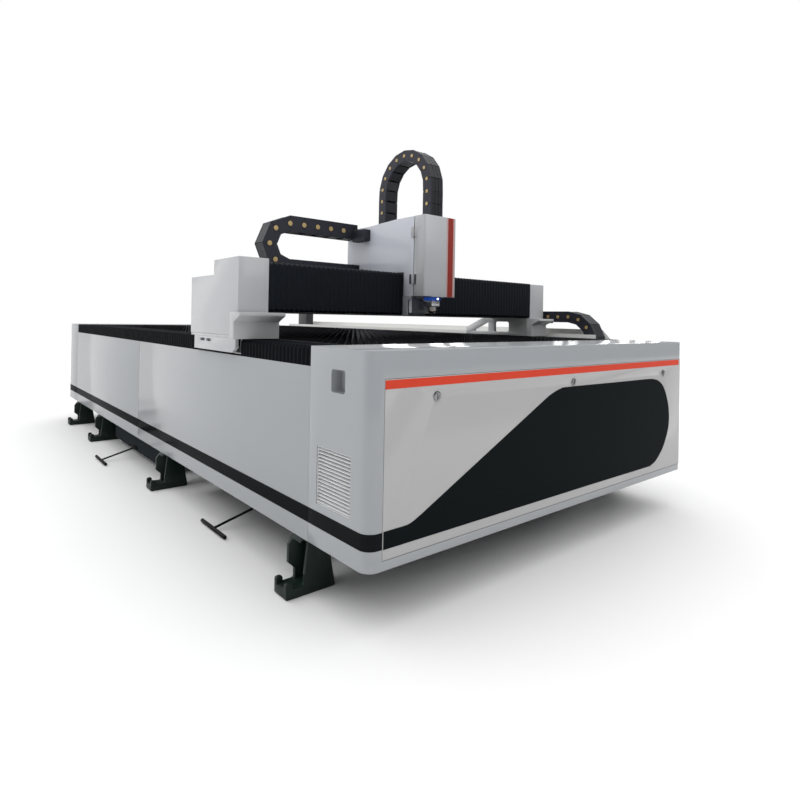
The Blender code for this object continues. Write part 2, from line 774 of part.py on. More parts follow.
# Louvre grille: a rimmed frame behind the side wall with slanted blades across its window
grille_x = HOOD_SHEET + SEAT_GAP
grille = block("louvre_grille", (grille_x, LOUVRE_DEPTH),
               (LOUVRE_FRONT_Y - LOUVRE_FLANGE, louvre_rear + LOUVRE_FLANGE),
               (LOUVRE_BOTTOM - LOUVRE_FLANGE, LOUVRE_TOP + LOUVRE_FLANGE))
cut(grille, block("grille_window", (-OVERSHOOT, LOUVRE_DEPTH + OVERSHOOT),
                  (LOUVRE_FRONT_Y + LOUVRE_RIM, louvre_rear - LOUVRE_RIM),
                  (LOUVRE_BOTTOM + LOUVRE_RIM, LOUVRE_TOP - LOUVRE_RIM)))
blade_pitch = (LOUVRE_TOP - LOUVRE_BOTTOM - 2.0 * LOUVRE_RIM) / LOUVRE_BLADES
blade_depth = LOUVRE_DEPTH - grille_x - RUNNING_GAP
rise = blade_depth * math.tan(math.radians(LOUVRE_BLADE_TILT)) / 2.0
blade_thick = LOUVRE_BLADE_SHEET / math.cos(math.radians(LOUVRE_BLADE_TILT)) / 2.0
blade_x = (grille_x + RUNNING_GAP / 2.0, LOUVRE_DEPTH - RUNNING_GAP / 2.0)
blade_y = (LOUVRE_FRONT_Y + LOUVRE_RIM / 2.0, louvre_rear - LOUVRE_RIM / 2.0)
for number in range(LOUVRE_BLADES):
    middle = LOUVRE_BOTTOM + LOUVRE_RIM + blade_pitch * number + blade_pitch / 2.0
    slope = [(blade_x[0], middle - rise - blade_thick), (blade_x[1], middle + rise - blade_thick),
             (blade_x[1], middle + rise + blade_thick), (blade_x[0], middle - rise + blade_thick)]
    lowest = LOUVRE_BOTTOM + LOUVRE_RIM / 2.0
    highest = LOUVRE_TOP - LOUVRE_RIM / 2.0
    slope = [(x, min(max(z, lowest), highest)) for x, z in slope]
    join(grille, plate(f"blade_{number:02d}", slope, "Y", *blade_y))
paint(grille, "panel_paint")

# Front panel in its rebate, with a hole for each lock
lock_z = FRONT_TOP - LOCK_DROP
lock_xs = (LOCK_LEFT, BED_WIDTH / 2.0 + LOCK_MIDDLE_OFFSET, BED_WIDTH - LOCK_RIGHT_INSET)
panel = block("front_panel", panel_x, (0.0, FRONT_SHEET), panel_z)
for number, lock_x in enumerate(lock_xs, 1):
    cut(panel, drum(f"lock_hole_{number}", (lock_x, FRONT_SHEET / 2.0, lock_z),
                    LOCK_BARREL_RADIUS + RUNNING_GAP, FRONT_SHEET + OVERSHOOT, "Y", LOCK_SIDES))
paint(panel, "front_paint")

# Cam locks: head, barrel through the panel and a cam behind the edge of the window
for number, lock_x in enumerate(lock_xs, 1):
    add_anchor(f"lock_axis_{number}", (lock_x, 0.0, lock_z), "machine")
    head_y = (-LOCK_PROUD, -SEAT_GAP)
    cam_front = HOOD_FRONT_WALL + SEAT_GAP
    lock = drum(f"panel_lock_{number}", (lock_x, sum(head_y) / 2.0, lock_z), LOCK_HEAD_RADIUS,
                head_y[1] - head_y[0], "Y", LOCK_SIDES)
    barrel_end = cam_front + LOCK_CAM_SHEET / 2.0
    barrel_start = -LOCK_PROUD / 2.0
    join(lock, drum(f"lock_barrel_{number}", (lock_x, (barrel_start + barrel_end) / 2.0, lock_z),
                    LOCK_BARREL_RADIUS, barrel_end - barrel_start, "Y", LOCK_SIDES))
    cam = rounded(rectangle((lock_x - LOCK_CAM_WIDTH / 2.0, lock_x + LOCK_CAM_WIDTH / 2.0),
                            (lock_z - LOCK_CAM_WIDTH / 2.0, lock_z + LOCK_CAM_LENGTH)),
                  LOCK_CAM_WIDTH / 3.0)
    join(lock, plate(f"lock_cam_{number}", cam, "Y", cam_front, cam_front + LOCK_CAM_SHEET))
    cut(lock, block(f"lock_slot_{number}", (lock_x - LOCK_SLOT / 2.0, lock_x + LOCK_SLOT / 2.0),
                    (-LOCK_PROUD - OVERSHOOT, -LOCK_PROUD + LOCK_SLOT_DEPTH),
                    (lock_z - LOCK_BARREL_RADIUS, lock_z + LOCK_BARREL_RADIUS)))
    paint(smooth(lock), "lock_chrome")
state["anchor"] = "machine"


# Cast feet: one pattern, open on its outer side between a bellied wall and a sloping one
def foot_outline():
    """Side view of the casting: base with its lug, neck, belly and the slanted inner side."""
    floor = -BED_FLOOR_HEIGHT
    base = floor + FOOT_BASE_HEIGHT
    lug = floor + FOOT_LUG_HEIGHT
    lug_inner = FOOT_LUG_WIDTH - FOOT_REACH
    return [(-FOOT_REACH, floor), (FOOT_BASE_INNER, floor), (FOOT_TOP_INNER, -SEAT_GAP),
            (FOOT_TOP_OUTER, -SEAT_GAP), (-FOOT_BELLY, -FOOT_BELLY_HIGH), (-FOOT_BELLY, -FOOT_BELLY_LOW),
            (FOOT_NECK, -FOOT_NECK_DROP), (FOOT_NECK, base), (lug_inner, base), (lug_inner, lug),
            (-FOOT_REACH, lug)]


foot = plate("foot_pattern", rounded(foot_outline(), FOOT_ROUNDING, 2, sharp=(2, 3)), "Y",
             -FOOT_WIDTH / 2.0, FOOT_WIDTH / 2.0)
outside = -FOOT_REACH - OVERSHOOT
slope_ring = [(outside, -FOOT_NECK_DROP), (FOOT_NECK, -FOOT_NECK_DROP), (FOOT_TOP_SLOPE, OVERSHOOT),
              (outside, OVERSHOOT)]
cut(foot, plate("foot_slope", slope_ring, "Y", -FOOT_WIDTH, FOOT_WALL - FOOT_WIDTH / 2.0),
    block("foot_pocket", (outside, FOOT_WEB_X), (FOOT_WALL - FOOT_WIDTH / 2.0, FOOT_WIDTH / 2.0 - FOOT_WALL),
          (FOOT_BASE_HEIGHT - BED_FLOOR_HEIGHT, -FOOT_WALL)))
foot_names = []
foot_places = []
turned = Matrix.Translation((BED_WIDTH, 0.0, 0.0)) @ Matrix.Rotation(math.pi, 4, "Z")
for number, foot_y in enumerate(FOOT_YS, 1):
    foot_names += [f"foot_left_{number}", f"foot_right_{number}"]
    upright = Matrix(foot.matrix_basis)
    foot_places += [Matrix.Translation((0.0, foot_y, 0.0)) @ upright,
                    Matrix.Translation((0.0, foot_y, 0.0)) @ turned @ upright]
copies(foot, foot_names, foot_places, "foot_paint")


# Slat table: sawtooth slats locked into one carrier ring
def slat_outline():
    left = BEAM_WIDTH + EDGE_STRIP + SLAT_SIDE_PLAY + SLAT_CARRIER / 2.0
    right = BED_WIDTH - left
    teeth = round((right - left) / SLAT_TOOTH_PITCH)
    pitch = (right - left) / teeth
    low = LEDGE_TOP + SEAT_GAP + (SLAT_TIP - LEDGE_TOP - SLAT_HEIGHT)
    ring = [(left, low), (right, low)]
    for number in range(teeth, 0, -1):
        ring.append((left + pitch * number, SLAT_TIP - SLAT_TOOTH))
        ring.append((left + pitch * (number - 0.5), SLAT_TIP))
    ring.append((left, SLAT_TIP - SLAT_TOOTH))
    return ring


carrier_left = BEAM_WIDTH + EDGE_STRIP + SLAT_SIDE_PLAY
carrier_x = (carrier_left, BED_WIDTH - carrier_left)
carrier_z = (LEDGE_TOP + SEAT_GAP, LEDGE_TOP + SEAT_GAP + SLAT_CARRIER_HEIGHT)
inner_ring = rectangle((carrier_x[0] + SLAT_CARRIER, carrier_x[1] - SLAT_CARRIER),
                       (SLAT_FRONT_Y + SLAT_CARRIER, SLAT_REAR_Y - SLAT_CARRIER))
slat_count = int((SLAT_REAR_Y - SLAT_FRONT_Y - SLAT_SPACING / 2.0) / SLAT_SPACING) + 1
first_slat = (SLAT_FRONT_Y + SLAT_REAR_Y - SLAT_SPACING * (slat_count - 1)) / 2.0
slats = plate("slat_table", slat_outline(), "Y", first_slat - SLAT_SHEET / 2.0,
              first_slat + SLAT_SHEET / 2.0)
row = slats.modifiers.new("slat_row", "ARRAY")
row.count = slat_count
row.use_relative_offset = False
row.use_constant_offset = True
row.constant_offset_displace = (0.0, 0.0, -SLAT_SPACING)
join(slats, plate("slat_carrier", rectangle(carrier_x, (SLAT_FRONT_Y, SLAT_REAR_Y)), "Z", *carrier_z,
                  holes=[inner_ring]))
paint(slats, "slat_steel")


# Linear rails with their racks, under folded covers that end at the gantry
def rail_section():
    base = PANEL_TOP + SEAT_GAP
    foot_top = base + RAIL_BASE_HEIGHT
    rack = RAIL_BASE_OUT - RACK_WIDTH
    return [(RAIL_BASE_IN, base), (RAIL_BASE_OUT, base), (RAIL_BASE_OUT, base + RACK_HEIGHT),
            (rack, base + RACK_HEIGHT), (rack, foot_top), (RAIL_X + RAIL_WIDTH / 2.0, foot_top),
            (RAIL_X + RAIL_WIDTH / 2.0, base + RAIL_HEIGHT), (RAIL_X - RAIL_WIDTH / 2.0, base + RAIL_HEIGHT),
            (RAIL_X - RAIL_WIDTH / 2.0, foot_top), (RAIL_BASE_IN, foot_top)]


def rail_bellows_section(fold):
    base = PANEL_TOP + SEAT_GAP
    inner = BEAM_WIDTH - SEAT_GAP
    channel = base + BELLOWS_CHANNEL_HEIGHT
    return [(fold, base), (BELLOWS_CHANNEL_IN, base), (BELLOWS_CHANNEL_IN, channel),
            (BELLOWS_CHANNEL_OUT, channel), (BELLOWS_CHANNEL_OUT, base), (inner - fold, base),
            (inner - fold, HOOD_TOP - fold), (fold, HOOD_TOP - fold)]


for side, turn in (("left", lambda ring: ring), ("right", mirrored)):
    paint(plate(f"bed_rail_{side}", turn(rail_section()), "Y", FRAME_FRONT, FRAME_REAR), "rail_steel")
    crest = turn(rail_bellows_section(0.0))
    valley = turn(rail_bellows_section(BELLOWS_FOLD))
    bellows(f"rail_bellows_{side}_front", crest, valley, "Y", FRAME_FRONT, GANTRY_FRONT_Y - SEAT_GAP,
            BELLOWS_PITCH)
    bellows(f"rail_bellows_{side}_rear", crest, valley, "Y", GANTRY_REAR_Y + SEAT_GAP, FRAME_REAR,
            BELLOWS_PITCH)

# Tray for the long chain along the right side, with the cable riser at its rear end
tray_right = TRAY_LEFT + TRAY_WIDTH
tray_low = TRAY_FLOOR - TRAY_SHEET
tray_ring = [(TRAY_LEFT, tray_low), (tray_right, tray_low), (tray_right, TRAY_OUTER_TOP),
             (tray_right - TRAY_SHEET, TRAY_OUTER_TOP), (tray_right - TRAY_SHEET, TRAY_FLOOR),
             (TRAY_LEFT + TRAY_SHEET, TRAY_FLOOR), (TRAY_LEFT + TRAY_SHEET, TRAY_INNER_TOP),
             (TRAY_LEFT, TRAY_INNER_TOP)]
tray = plate("long_chain_tray", tray_ring, "Y", TRAY_FRONT_Y, TRAY_REAR_Y)
corner = [(TRAY_FRONT_Y - OVERSHOOT, TRAY_OUTER_TOP - TRAY_SLOPE - OVERSHOOT),
          (TRAY_FRONT_Y + TRAY_SLOPE + OVERSHOOT, TRAY_OUTER_TOP + OVERSHOOT),
          (TRAY_FRONT_Y - OVERSHOOT, TRAY_OUTER_TOP + OVERSHOOT)]
cut(tray, plate("tray_slope", corner, "X", tray_right - OVERSHOOT, tray_right + OVERSHOOT))
paint(tray, "grey_sheet")
riser_span = (TRAY_LEFT + RISER_INSET, TRAY_LEFT + RISER_INSET + RISER_DEPTH)
riser_y = (RISER_FRONT_Y, RISER_FRONT_Y + RISER_WIDTH)
riser = plate("cable_riser", rounded(rectangle(riser_span, riser_y), RISER_CORNER), "Z",
              TRAY_FLOOR + SEAT_GAP, RISER_TOP)
cut(riser, block("riser_hollow", (riser_span[0] + RISER_WALL, riser_span[1] - RISER_WALL),
                 (RISER_FRONT_Y + RISER_WALL, riser_y[1] - RISER_WALL),
                 (TRAY_FLOOR - OVERSHOOT, RISER_TOP - RISER_WALL)))
paint(riser, "frame_paint")


long_chain_x = (TRAY_LEFT + LONG_CHAIN_INSET, TRAY_LEFT + LONG_CHAIN_INSET + LONG_CHAIN_WIDTH)
long_chain_middle = TRAY_FLOOR + SEAT_GAP + LONG_CHAIN_HEIGHT / 2.0 + LONG_CHAIN_RADIUS
energy_chain("long_chain", LONG_CHAIN_MOVING_Y - LONG_CHAIN_BEND_Y, LONG_CHAIN_FIXED_Y - LONG_CHAIN_BEND_Y,
             LONG_CHAIN_RADIUS, LONG_CHAIN_HEIGHT, LONG_CHAIN_PITCH, long_chain_x,
             lambda a, b, side: (side, LONG_CHAIN_BEND_Y + a, long_chain_middle + b))

# Slag drawers on their runners, each with a hinged T handle
for number, (middle, pulled) in enumerate(zip(DRAWER_YS, DRAWER_PULLED), 1):
    front = DRAWER_FRONT_X - pulled
    rear = BED_WIDTH - DRAWER_REAR_INSET - pulled
    add_anchor(f"drawer_slide_{number}", (front, middle, DRAWER_TOP), "machine")
    half = DRAWER_WIDTH / 2.0
    low = DRAWER_TOP - DRAWER_DEPTH
    drawer = block(f"slag_drawer_{number}", (front, rear), (middle - half, middle + half),
                   (low, DRAWER_TOP))
    join(drawer, block(f"drawer_lips_{number}", (front, rear),
                       (middle - half - DRAWER_LIP, middle + half + DRAWER_LIP), (lip_low, DRAWER_TOP)))
    cut(drawer, block(f"drawer_hollow_{number}", (front + DRAWER_SHEET, rear - DRAWER_SHEET),
                      (middle - half + DRAWER_SHEET, middle + half - DRAWER_SHEET),
                      (low + DRAWER_SHEET, DRAWER_TOP + OVERSHOOT)))
    pin_x = front - PULL_PIN_STANDOFF
    ear_inner = PULL_EYE_WIDTH / 2.0 + RUNNING_GAP
    for side in (-1.0, 1.0):
        ear_y = sorted((middle + side * ear_inner, middle + side * (ear_inner + PULL_EAR_SHEET)))
        ear = rounded(rectangle((pin_x - PULL_EYE_RADIUS, front + DRAWER_SHEET / 2.0),
                                (PULL_PIN_Z - PULL_EYE_RADIUS, PULL_PIN_Z + PULL_EYE_RADIUS)),
                      PULL_EYE_RADIUS / 2.0)
        join(drawer, plate(f"drawer_ear_{number}_{side:+.0f}", ear, "Y", *ear_y))
    join(drawer, drum(f"drawer_pin_{number}", (pin_x, middle, PULL_PIN_Z), PULL_PIN_RADIUS,
                      2.0 * (ear_inner + PULL_EAR_SHEET / 2.0), "Y", SMALL_ROUND_SIDES))
    paint(drawer, "frame_paint")
    add_anchor(f"pull_hinge_{number}", (pin_x, middle, PULL_PIN_Z), f"drawer_slide_{number}")
    bar_x = PULL_BAR_X - pulled
    handle = drum(f"drawer_pull_{number}", (pin_x, middle, PULL_PIN_Z), PULL_EYE_RADIUS,
                  PULL_EYE_WIDTH, "Y")
    reach = Vector((bar_x - pin_x, 0.0, PULL_BAR_Z - PULL_PIN_Z))
    pin = Vector((pin_x, middle, PULL_PIN_Z))
    start = pin + reach.normalized() * (PULL_PIN_RADIUS + PULL_ROD_RADIUS / 2.0)
    stop = Vector((bar_x, middle, PULL_BAR_Z))
    rod = drum(f"pull_rod_{number}", (start + stop) / 2.0, PULL_ROD_RADIUS, (stop - start).length, "Z",
               SMALL_ROUND_SIDES)
    lean = reach.to_track_quat("Z", "Y").to_matrix().to_4x4()
    rod.matrix_basis = Matrix.Translation((start + stop) / 2.0) @ lean
    join(handle, rod, drum(f"pull_bar_{number}", stop, PULL_BAR_RADIUS, PULL_BAR_LENGTH, "Y",
                           SMALL_ROUND_SIDES))
    cut(handle, drum(f"pull_eye_{number}", (pin_x, middle, PULL_PIN_Z), PULL_PIN_RADIUS + RUNNING_GAP,
                     PULL_EYE_WIDTH + OVERSHOOT, "Y", SMALL_ROUND_SIDES))
    paint(smooth(handle), "handle_black")

# Gantry
add_anchor("gantry_slide", (BED_WIDTH / 2.0, GANTRY_FRONT_Y, BOX_BOTTOM), "machine")
gantry_left = -GANTRY_OVERHANG
gantry_right = BED_WIDTH + GANTRY_OVERHANG
base_low = BOX_BOTTOM - SEAT_GAP - FOOT_BASE_SHEET
base_high = BOX_BOTTOM - SEAT_GAP


def gantry_foot(side):
    """Base plate over the bed rail, upright plate with windows, and two blocks round the rail."""
    place = (lambda span: span) if side == "left" else across
    plate_x = place((BOX_INNER + SEAT_GAP + RUNNING_GAP, BEAM_WIDTH - SEAT_GAP))
    front = GANTRY_FRONT_Y + SEAT_GAP
    outline = [(front, base_low), (FOOT_PLATE_REAR_Y, base_low), (FOOT_PLATE_REAR_Y, FOOT_STRUT_Z),
               (FOOT_STRUT_Y, FOOT_PLATE_TOP), (front, FOOT_PLATE_TOP)]
    long_window = rounded([(WINDOW_LONG_FRONT_Y, WINDOW_FLOOR), (WINDOW_LONG_REAR_Y, WINDOW_FLOOR),
                           (WINDOW_LONG_FRONT_Y, WINDOW_TOP)], WINDOW_ROUNDING / 2.0)
    small_window = rounded(rectangle((WINDOW_SMALL_FRONT_Y, WINDOW_SMALL_REAR_Y),
                                     (WINDOW_FLOOR, WINDOW_TOP)), WINDOW_ROUNDING)
    foot_piece = plate(f"gantry_foot_{side}", outline, "X", *plate_x, holes=[long_window, small_window])
    outer = gantry_left + SEAT_GAP if side == "left" else RUNNING_GAP
    base_x = place((outer, BOX_INNER + FOOT_PLATE / 2.0))
    join(foot_piece, block(f"foot_base_{side}", base_x, (front, FOOT_PLATE_REAR_Y), (base_low, base_high)))
    rail_top = PANEL_TOP + SEAT_GAP + RAIL_HEIGHT
    block_low = PANEL_TOP + SEAT_GAP + RAIL_BASE_HEIGHT + RUNNING_GAP
    half = RAIL_WIDTH / 2.0 + RUNNING_GAP
    for number, near in enumerate((front, FOOT_PLATE_REAR_Y - GUIDE_LENGTH)):
        saddle = [(RAIL_X - half - GUIDE_LEG, block_low), (RAIL_X - half, block_low),
                  (RAIL_X - half, rail_top + RUNNING_GAP), (RAIL_X + half, rail_top + RUNNING_GAP),
                  (RAIL_X + half, block_low), (RAIL_X + half + GUIDE_LEG - RUNNING_GAP, block_low),
                  (RAIL_X + half + GUIDE_LEG - RUNNING_GAP, base_low + FOOT_BASE_SHEET / 2.0),
                  (RAIL_X - half - GUIDE_LEG, base_low + FOOT_BASE_SHEET / 2.0)]
        if side == "right":
            saddle = mirrored(saddle)
        join(foot_piece, plate(f"guide_{side}_{number}", saddle, "Y", near, near + GUIDE_LENGTH))
    return paint(foot_piece, "grey_sheet")


gantry_foot("left")
gantry_foot("right")

# Left drive housing: stepped cover, hollow from below
box_edge = min(BOX_EDGE, BOX_SHEET * EDGE_SHARE)
box_ring = [(GANTRY_FRONT_Y, BOX_BOTTOM), (GANTRY_REAR_Y, BOX_BOTTOM), (GANTRY_REAR_Y, BOX_STEP_Z),
            (BOX_STEP_Y, BOX_STEP_Z), (BOX_STEP_Y, BOX_TOP), (GANTRY_FRONT_Y, BOX_TOP)]
hollow_ring = [(GANTRY_FRONT_Y + BOX_SHEET, BOX_BOTTOM - OVERSHOOT),
               (GANTRY_REAR_Y - BOX_SHEET, BOX_BOTTOM - OVERSHOOT),
               (GANTRY_REAR_Y - BOX_SHEET, BOX_STEP_Z - BOX_SHEET),
               (BOX_STEP_Y - BOX_SHEET, BOX_STEP_Z - BOX_SHEET),
               (BOX_STEP_Y - BOX_SHEET, BOX_TOP - BOX_SHEET),
               (GANTRY_FRONT_Y + BOX_SHEET, BOX_TOP - BOX_SHEET)]
box = soften(plate("drive_housing_left", box_ring, "X", gantry_left, BOX_INNER), box_edge)
cut(box, plate("housing_hollow", hollow_ring, "X", gantry_left + BOX_SHEET, BOX_INNER - BOX_SHEET))
paint(box, "gantry_paint")

# Slotted skirt plate below the housing, outside the side panel
skirt_ring = [(SKIRT_NOSE_Y, SKIRT_BOTTOM), (SKIRT_REAR_Y, SKIRT_BOTTOM), (SKIRT_REAR_Y, base_low - SEAT_GAP),
              (SKIRT_FRONT_Y, base_low - SEAT_GAP), (SKIRT_FRONT_Y, SKIRT_NOSE_Z)]
slots = []
for middle in SKIRT_SLOT_YS:
    slots.append(rounded(rectangle((middle - SKIRT_SLOT_LENGTH / 2.0, middle + SKIRT_SLOT_LENGTH / 2.0),
                                   (SKIRT_SLOT_Z - SKIRT_SLOT_HEIGHT / 2.0,
                                    SKIRT_SLOT_Z + SKIRT_SLOT_HEIGHT / 2.0)), SKIRT_SLOT_HEIGHT / 3.0))
skirt = plate("gantry_skirt_left", skirt_ring, "X", gantry_left, gantry_left + SKIRT_SHEET, holes=slots)
paint(skirt, "gantry_paint")


# Folded covers in front of both gantry feet, with a lip over their front
def foot_cover(side):
    place = (lambda span: span) if side == "left" else across
    low = HOOD_TOP + FOOT_COVER_SHEET / 2.0
    rear = GANTRY_FRONT_Y - SEAT_GAP
    sheet = FOOT_COVER_SHEET
    ring = [(rear, low), (rear, FOOT_PLATE_TOP), (FOOT_COVER_LIP_Y, FOOT_PLATE_TOP),
            (FOOT_COVER_LIP_Y, FOOT_COVER_LIP_Z), (FOOT_COVER_FRONT_Y, FOOT_COVER_BREAK_Z),
            (FOOT_COVER_FRONT_Y, low)]
    inside = [(rear + OVERSHOOT, low - OVERSHOOT), (rear + OVERSHOOT, FOOT_PLATE_TOP - sheet),
              (FOOT_COVER_FRONT_Y + sheet, FOOT_PLATE_TOP - sheet),
              (FOOT_COVER_FRONT_Y + sheet, low - OVERSHOOT)]
    outer_x = -FOOT_COVER_OUT if side == "left" else RUNNING_GAP
    cover = plate(f"foot_cover_{side}", ring, "X", *place((outer_x, FOOT_COVER_IN)))
    cut(cover, plate(f"foot_cover_hollow_{side}", inside, "X",
                     *place((outer_x + sheet, FOOT_COVER_IN - sheet))))
    return paint(cover, "grey_sheet")


foot_cover("left")
foot_cover("right")

# Right end cover of the beam, open below
end_x = across((gantry_left, BOX_INNER))
end_cover = soften(block("end_cover_right", end_x, (GANTRY_FRONT_Y, END_COVER_REAR_Y),
                         (END_COVER_BOTTOM, END_COVER_TOP)), box_edge)
cut(end_cover, block("end_cover_hollow", (end_x[0] + BOX_SHEET, end_x[1] - BOX_SHEET),
                     (GANTRY_FRONT_Y + BOX_SHEET, END_COVER_REAR_Y - BOX_SHEET),
                     (END_COVER_BOTTOM - OVERSHOOT, END_COVER_TOP - BOX_SHEET)))
paint(end_cover, "gantry_paint")

# Arm that carries the moving end of the long chain
arm_low = long_chain_middle + LONG_CHAIN_RADIUS - LONG_CHAIN_HEIGHT / 2.0 - SEAT_GAP - ARM_SHEET
arm_x = gantry_right + SEAT_GAP
arm_ring = [(arm_x, arm_low), (long_chain_x[1], arm_low), (long_chain_x[1], arm_low + ARM_SHEET),
            (arm_x + ARM_SHEET, arm_low + ARM_SHEET),
            (arm_x + ARM_SHEET, arm_low + ARM_RISE), (arm_x, arm_low + ARM_RISE)]
paint(plate("long_chain_arm", arm_ring, "Y", LONG_CHAIN_MOVING_Y - ARM_LENGTH, LONG_CHAIN_MOVING_Y),
      "frame_paint")

# Cross beam: rectangular tube on the two feet, with two rails on its front
beam_x = (BOX_INNER + SEAT_GAP, BED_WIDTH - BOX_INNER - SEAT_GAP)
beam_z = (FOOT_PLATE_TOP + SEAT_GAP, CROSS_BEAM_TOP)
beam_ring = rounded(rectangle((CROSS_BEAM_FRONT_Y, CROSS_BEAM_REAR_Y), beam_z), CROSS_BEAM_CORNER)
bore = rectangle((CROSS_BEAM_FRONT_Y + CROSS_BEAM_WALL, CROSS_BEAM_REAR_Y - CROSS_BEAM_WALL),
                 (beam_z[0] + CROSS_BEAM_WALL, beam_z[1] - CROSS_BEAM_WALL))
beam = plate("cross_beam", beam_ring, "X", *beam_x, holes=[bore])
beam_rail_x = (BEAM_RAIL_END, BED_WIDTH - BEAM_RAIL_END)
beam_rail_y = (CROSS_BEAM_FRONT_Y - BEAM_RAIL_REACH, CROSS_BEAM_FRONT_Y + CROSS_BEAM_WALL / 4.0)
for number, rail_z in enumerate(BEAM_RAIL_ZS):
    join(beam, block(f"beam_rail_{number}", beam_rail_x, beam_rail_y,
                     (rail_z - BEAM_RAIL_WIDTH / 2.0, rail_z + BEAM_RAIL_WIDTH / 2.0)))
paint(beam, "grey_sheet")


def beam_bellows_section(fold):
    front = GANTRY_FRONT_Y
    rear = CROSS_BEAM_FRONT_Y - SEAT_GAP
    low = BEAM_BELLOWS_BOTTOM
    high = BEAM_BELLOWS_TOP
    return [(rear, low + fold), (rear, low + BEAM_BELLOWS_WALL),
            (front + BEAM_BELLOWS_SKIN, low + BEAM_BELLOWS_WALL),
            (front + BEAM_BELLOWS_SKIN, high - BEAM_BELLOWS_WALL), (rear, high - BEAM_BELLOWS_WALL),
            (rear, high - fold), (front + fold, high - fold), (front + fold, low + fold)]


for side, low, high in (("left", beam_x[0], COVER_LEFT - SEAT_GAP),
                        ("right", COVER_RIGHT + SEAT_GAP, beam_x[1])):
    bellows(f"beam_bellows_{side}", beam_bellows_section(0.0), beam_bellows_section(BEAM_BELLOWS_FOLD), "X",
            low, high, BEAM_BELLOWS_PITCH)

# Shelf behind the beam and the energy chain that lies on it
short_low = SHORT_CHAIN_LOW_Z - SHORT_CHAIN_HEIGHT / 2.0
shelf_top = short_low - SEAT_GAP
shelf_rear = SHORT_CHAIN_Y + SHORT_CHAIN_WIDTH + SHELF_PLAY
shelf_front = CROSS_BEAM_REAR_Y + SEAT_GAP
shelf_ring = [(shelf_front, shelf_top - SHELF_DROP), (shelf_front + SHELF_SHEET, shelf_top - SHELF_DROP),
              (shelf_front + SHELF_SHEET, shelf_top - SHELF_SHEET), (shelf_rear, shelf_top - SHELF_SHEET),
              (shelf_rear, shelf_top + SHELF_LIP), (shelf_rear - SHELF_SHEET, shelf_top + SHELF_LIP),
              (shelf_rear - SHELF_SHEET, shelf_top), (shelf_front, shelf_top)]
shelf = plate("short_chain_shelf", shelf_ring, "X", SHELF_LEFT, SHELF_RIGHT)
cut(shelf, block("shelf_clearance", (SHELF_LEFT - OVERSHOOT, BOX_INNER + OVERSHOOT),
                 (shelf_front - OVERSHOOT, shelf_front + SHELF_SHEET + OVERSHOOT / 2.0),
                 (BOX_STEP_Z - SHELF_DROP, shelf_top - SHELF_SHEET)))
paint(shelf, "grey_sheet")
short_middle = SHORT_CHAIN_LOW_Z + SHORT_CHAIN_RADIUS
energy_chain("short_chain", COVER_LEFT - SHORT_CHAIN_BEND_X - SEAT_GAP,
             SHORT_CHAIN_FIXED_X - SHORT_CHAIN_BEND_X, SHORT_CHAIN_RADIUS, SHORT_CHAIN_HEIGHT,
             SHORT_CHAIN_PITCH, (SHORT_CHAIN_Y, SHORT_CHAIN_Y + SHORT_CHAIN_WIDTH),
             lambda a, b, side: (SHORT_CHAIN_BEND_X + a, side, short_middle + b))

# Carriage: plate with guide blocks, saddle over the beam and the post of the upper chain
add_anchor("carriage_slide", ((COVER_LEFT + COVER_RIGHT) / 2.0, CARRIAGE_PLATE_FRONT_Y, SADDLE_TOP),
           "gantry_slide")
carriage_x = (COVER_LEFT + GUARD_SHEET + SEAT_GAP, COVER_RIGHT - GUARD_SHEET - SEAT_GAP)
carriage_y = (CARRIAGE_PLATE_FRONT_Y, CARRIAGE_PLATE_FRONT_Y + CARRIAGE_PLATE_SHEET)
carriage = block("carriage_plate", carriage_x, carriage_y, (CARRIAGE_PLATE_BOTTOM, CARRIAGE_PLATE_TOP))
join(carriage, block("saddle", carriage_x, (carriage_y[0] + RUNNING_GAP, SADDLE_REAR_Y),
                     (SADDLE_TOP - SADDLE_SHEET, SADDLE_TOP)))
block_x = (carriage_x[0] + CARRIAGE_BLOCK_INSET, carriage_x[1] - CARRIAGE_BLOCK_INSET)
for number, rail_z in enumerate(BEAM_RAIL_ZS):
    join(carriage, block(f"carriage_block_{number}", block_x,
                         (carriage_y[1] - RUNNING_GAP, CARRIAGE_BLOCK_REAR_Y),
                         (rail_z - CARRIAGE_BLOCK_HALF, rail_z + CARRIAGE_BLOCK_HALF)))
    slot_half = BEAM_RAIL_WIDTH / 2.0 + RUNNING_GAP
    cut(carriage, block(f"carriage_slot_{number}", (block_x[0] - OVERSHOOT, block_x[1] + OVERSHOOT),
                        (beam_rail_y[0] - RUNNING_GAP, CARRIAGE_BLOCK_REAR_Y + OVERSHOOT),
                        (rail_z - slot_half, rail_z + slot_half)))
rail_x = (HEAD_X - HEAD_RAIL_WIDTH / 2.0, HEAD_X + HEAD_RAIL_WIDTH / 2.0)
head_rail_front = CARRIAGE_PLATE_FRONT_Y - HEAD_RAIL_REACH
join(carriage, block("head_rail", rail_x, (head_rail_front, CARRIAGE_PLATE_FRONT_Y + RUNNING_GAP),
                     (HEAD_RAIL_BOTTOM, CARRIAGE_PLATE_TOP - RUNNING_GAP)))
post_y = ARCH_Y + ARCH_RADIUS
join(carriage, block("chain_post", (ARCH_X, ARCH_X + ARCH_WIDTH),
                     (post_y - ARCH_POST / 2.0, post_y + ARCH_POST / 2.0),
                     (SADDLE_TOP - RUNNING_GAP, ARCH_REAR_END - SEAT_GAP)))
paint(carriage, "grey_sheet")


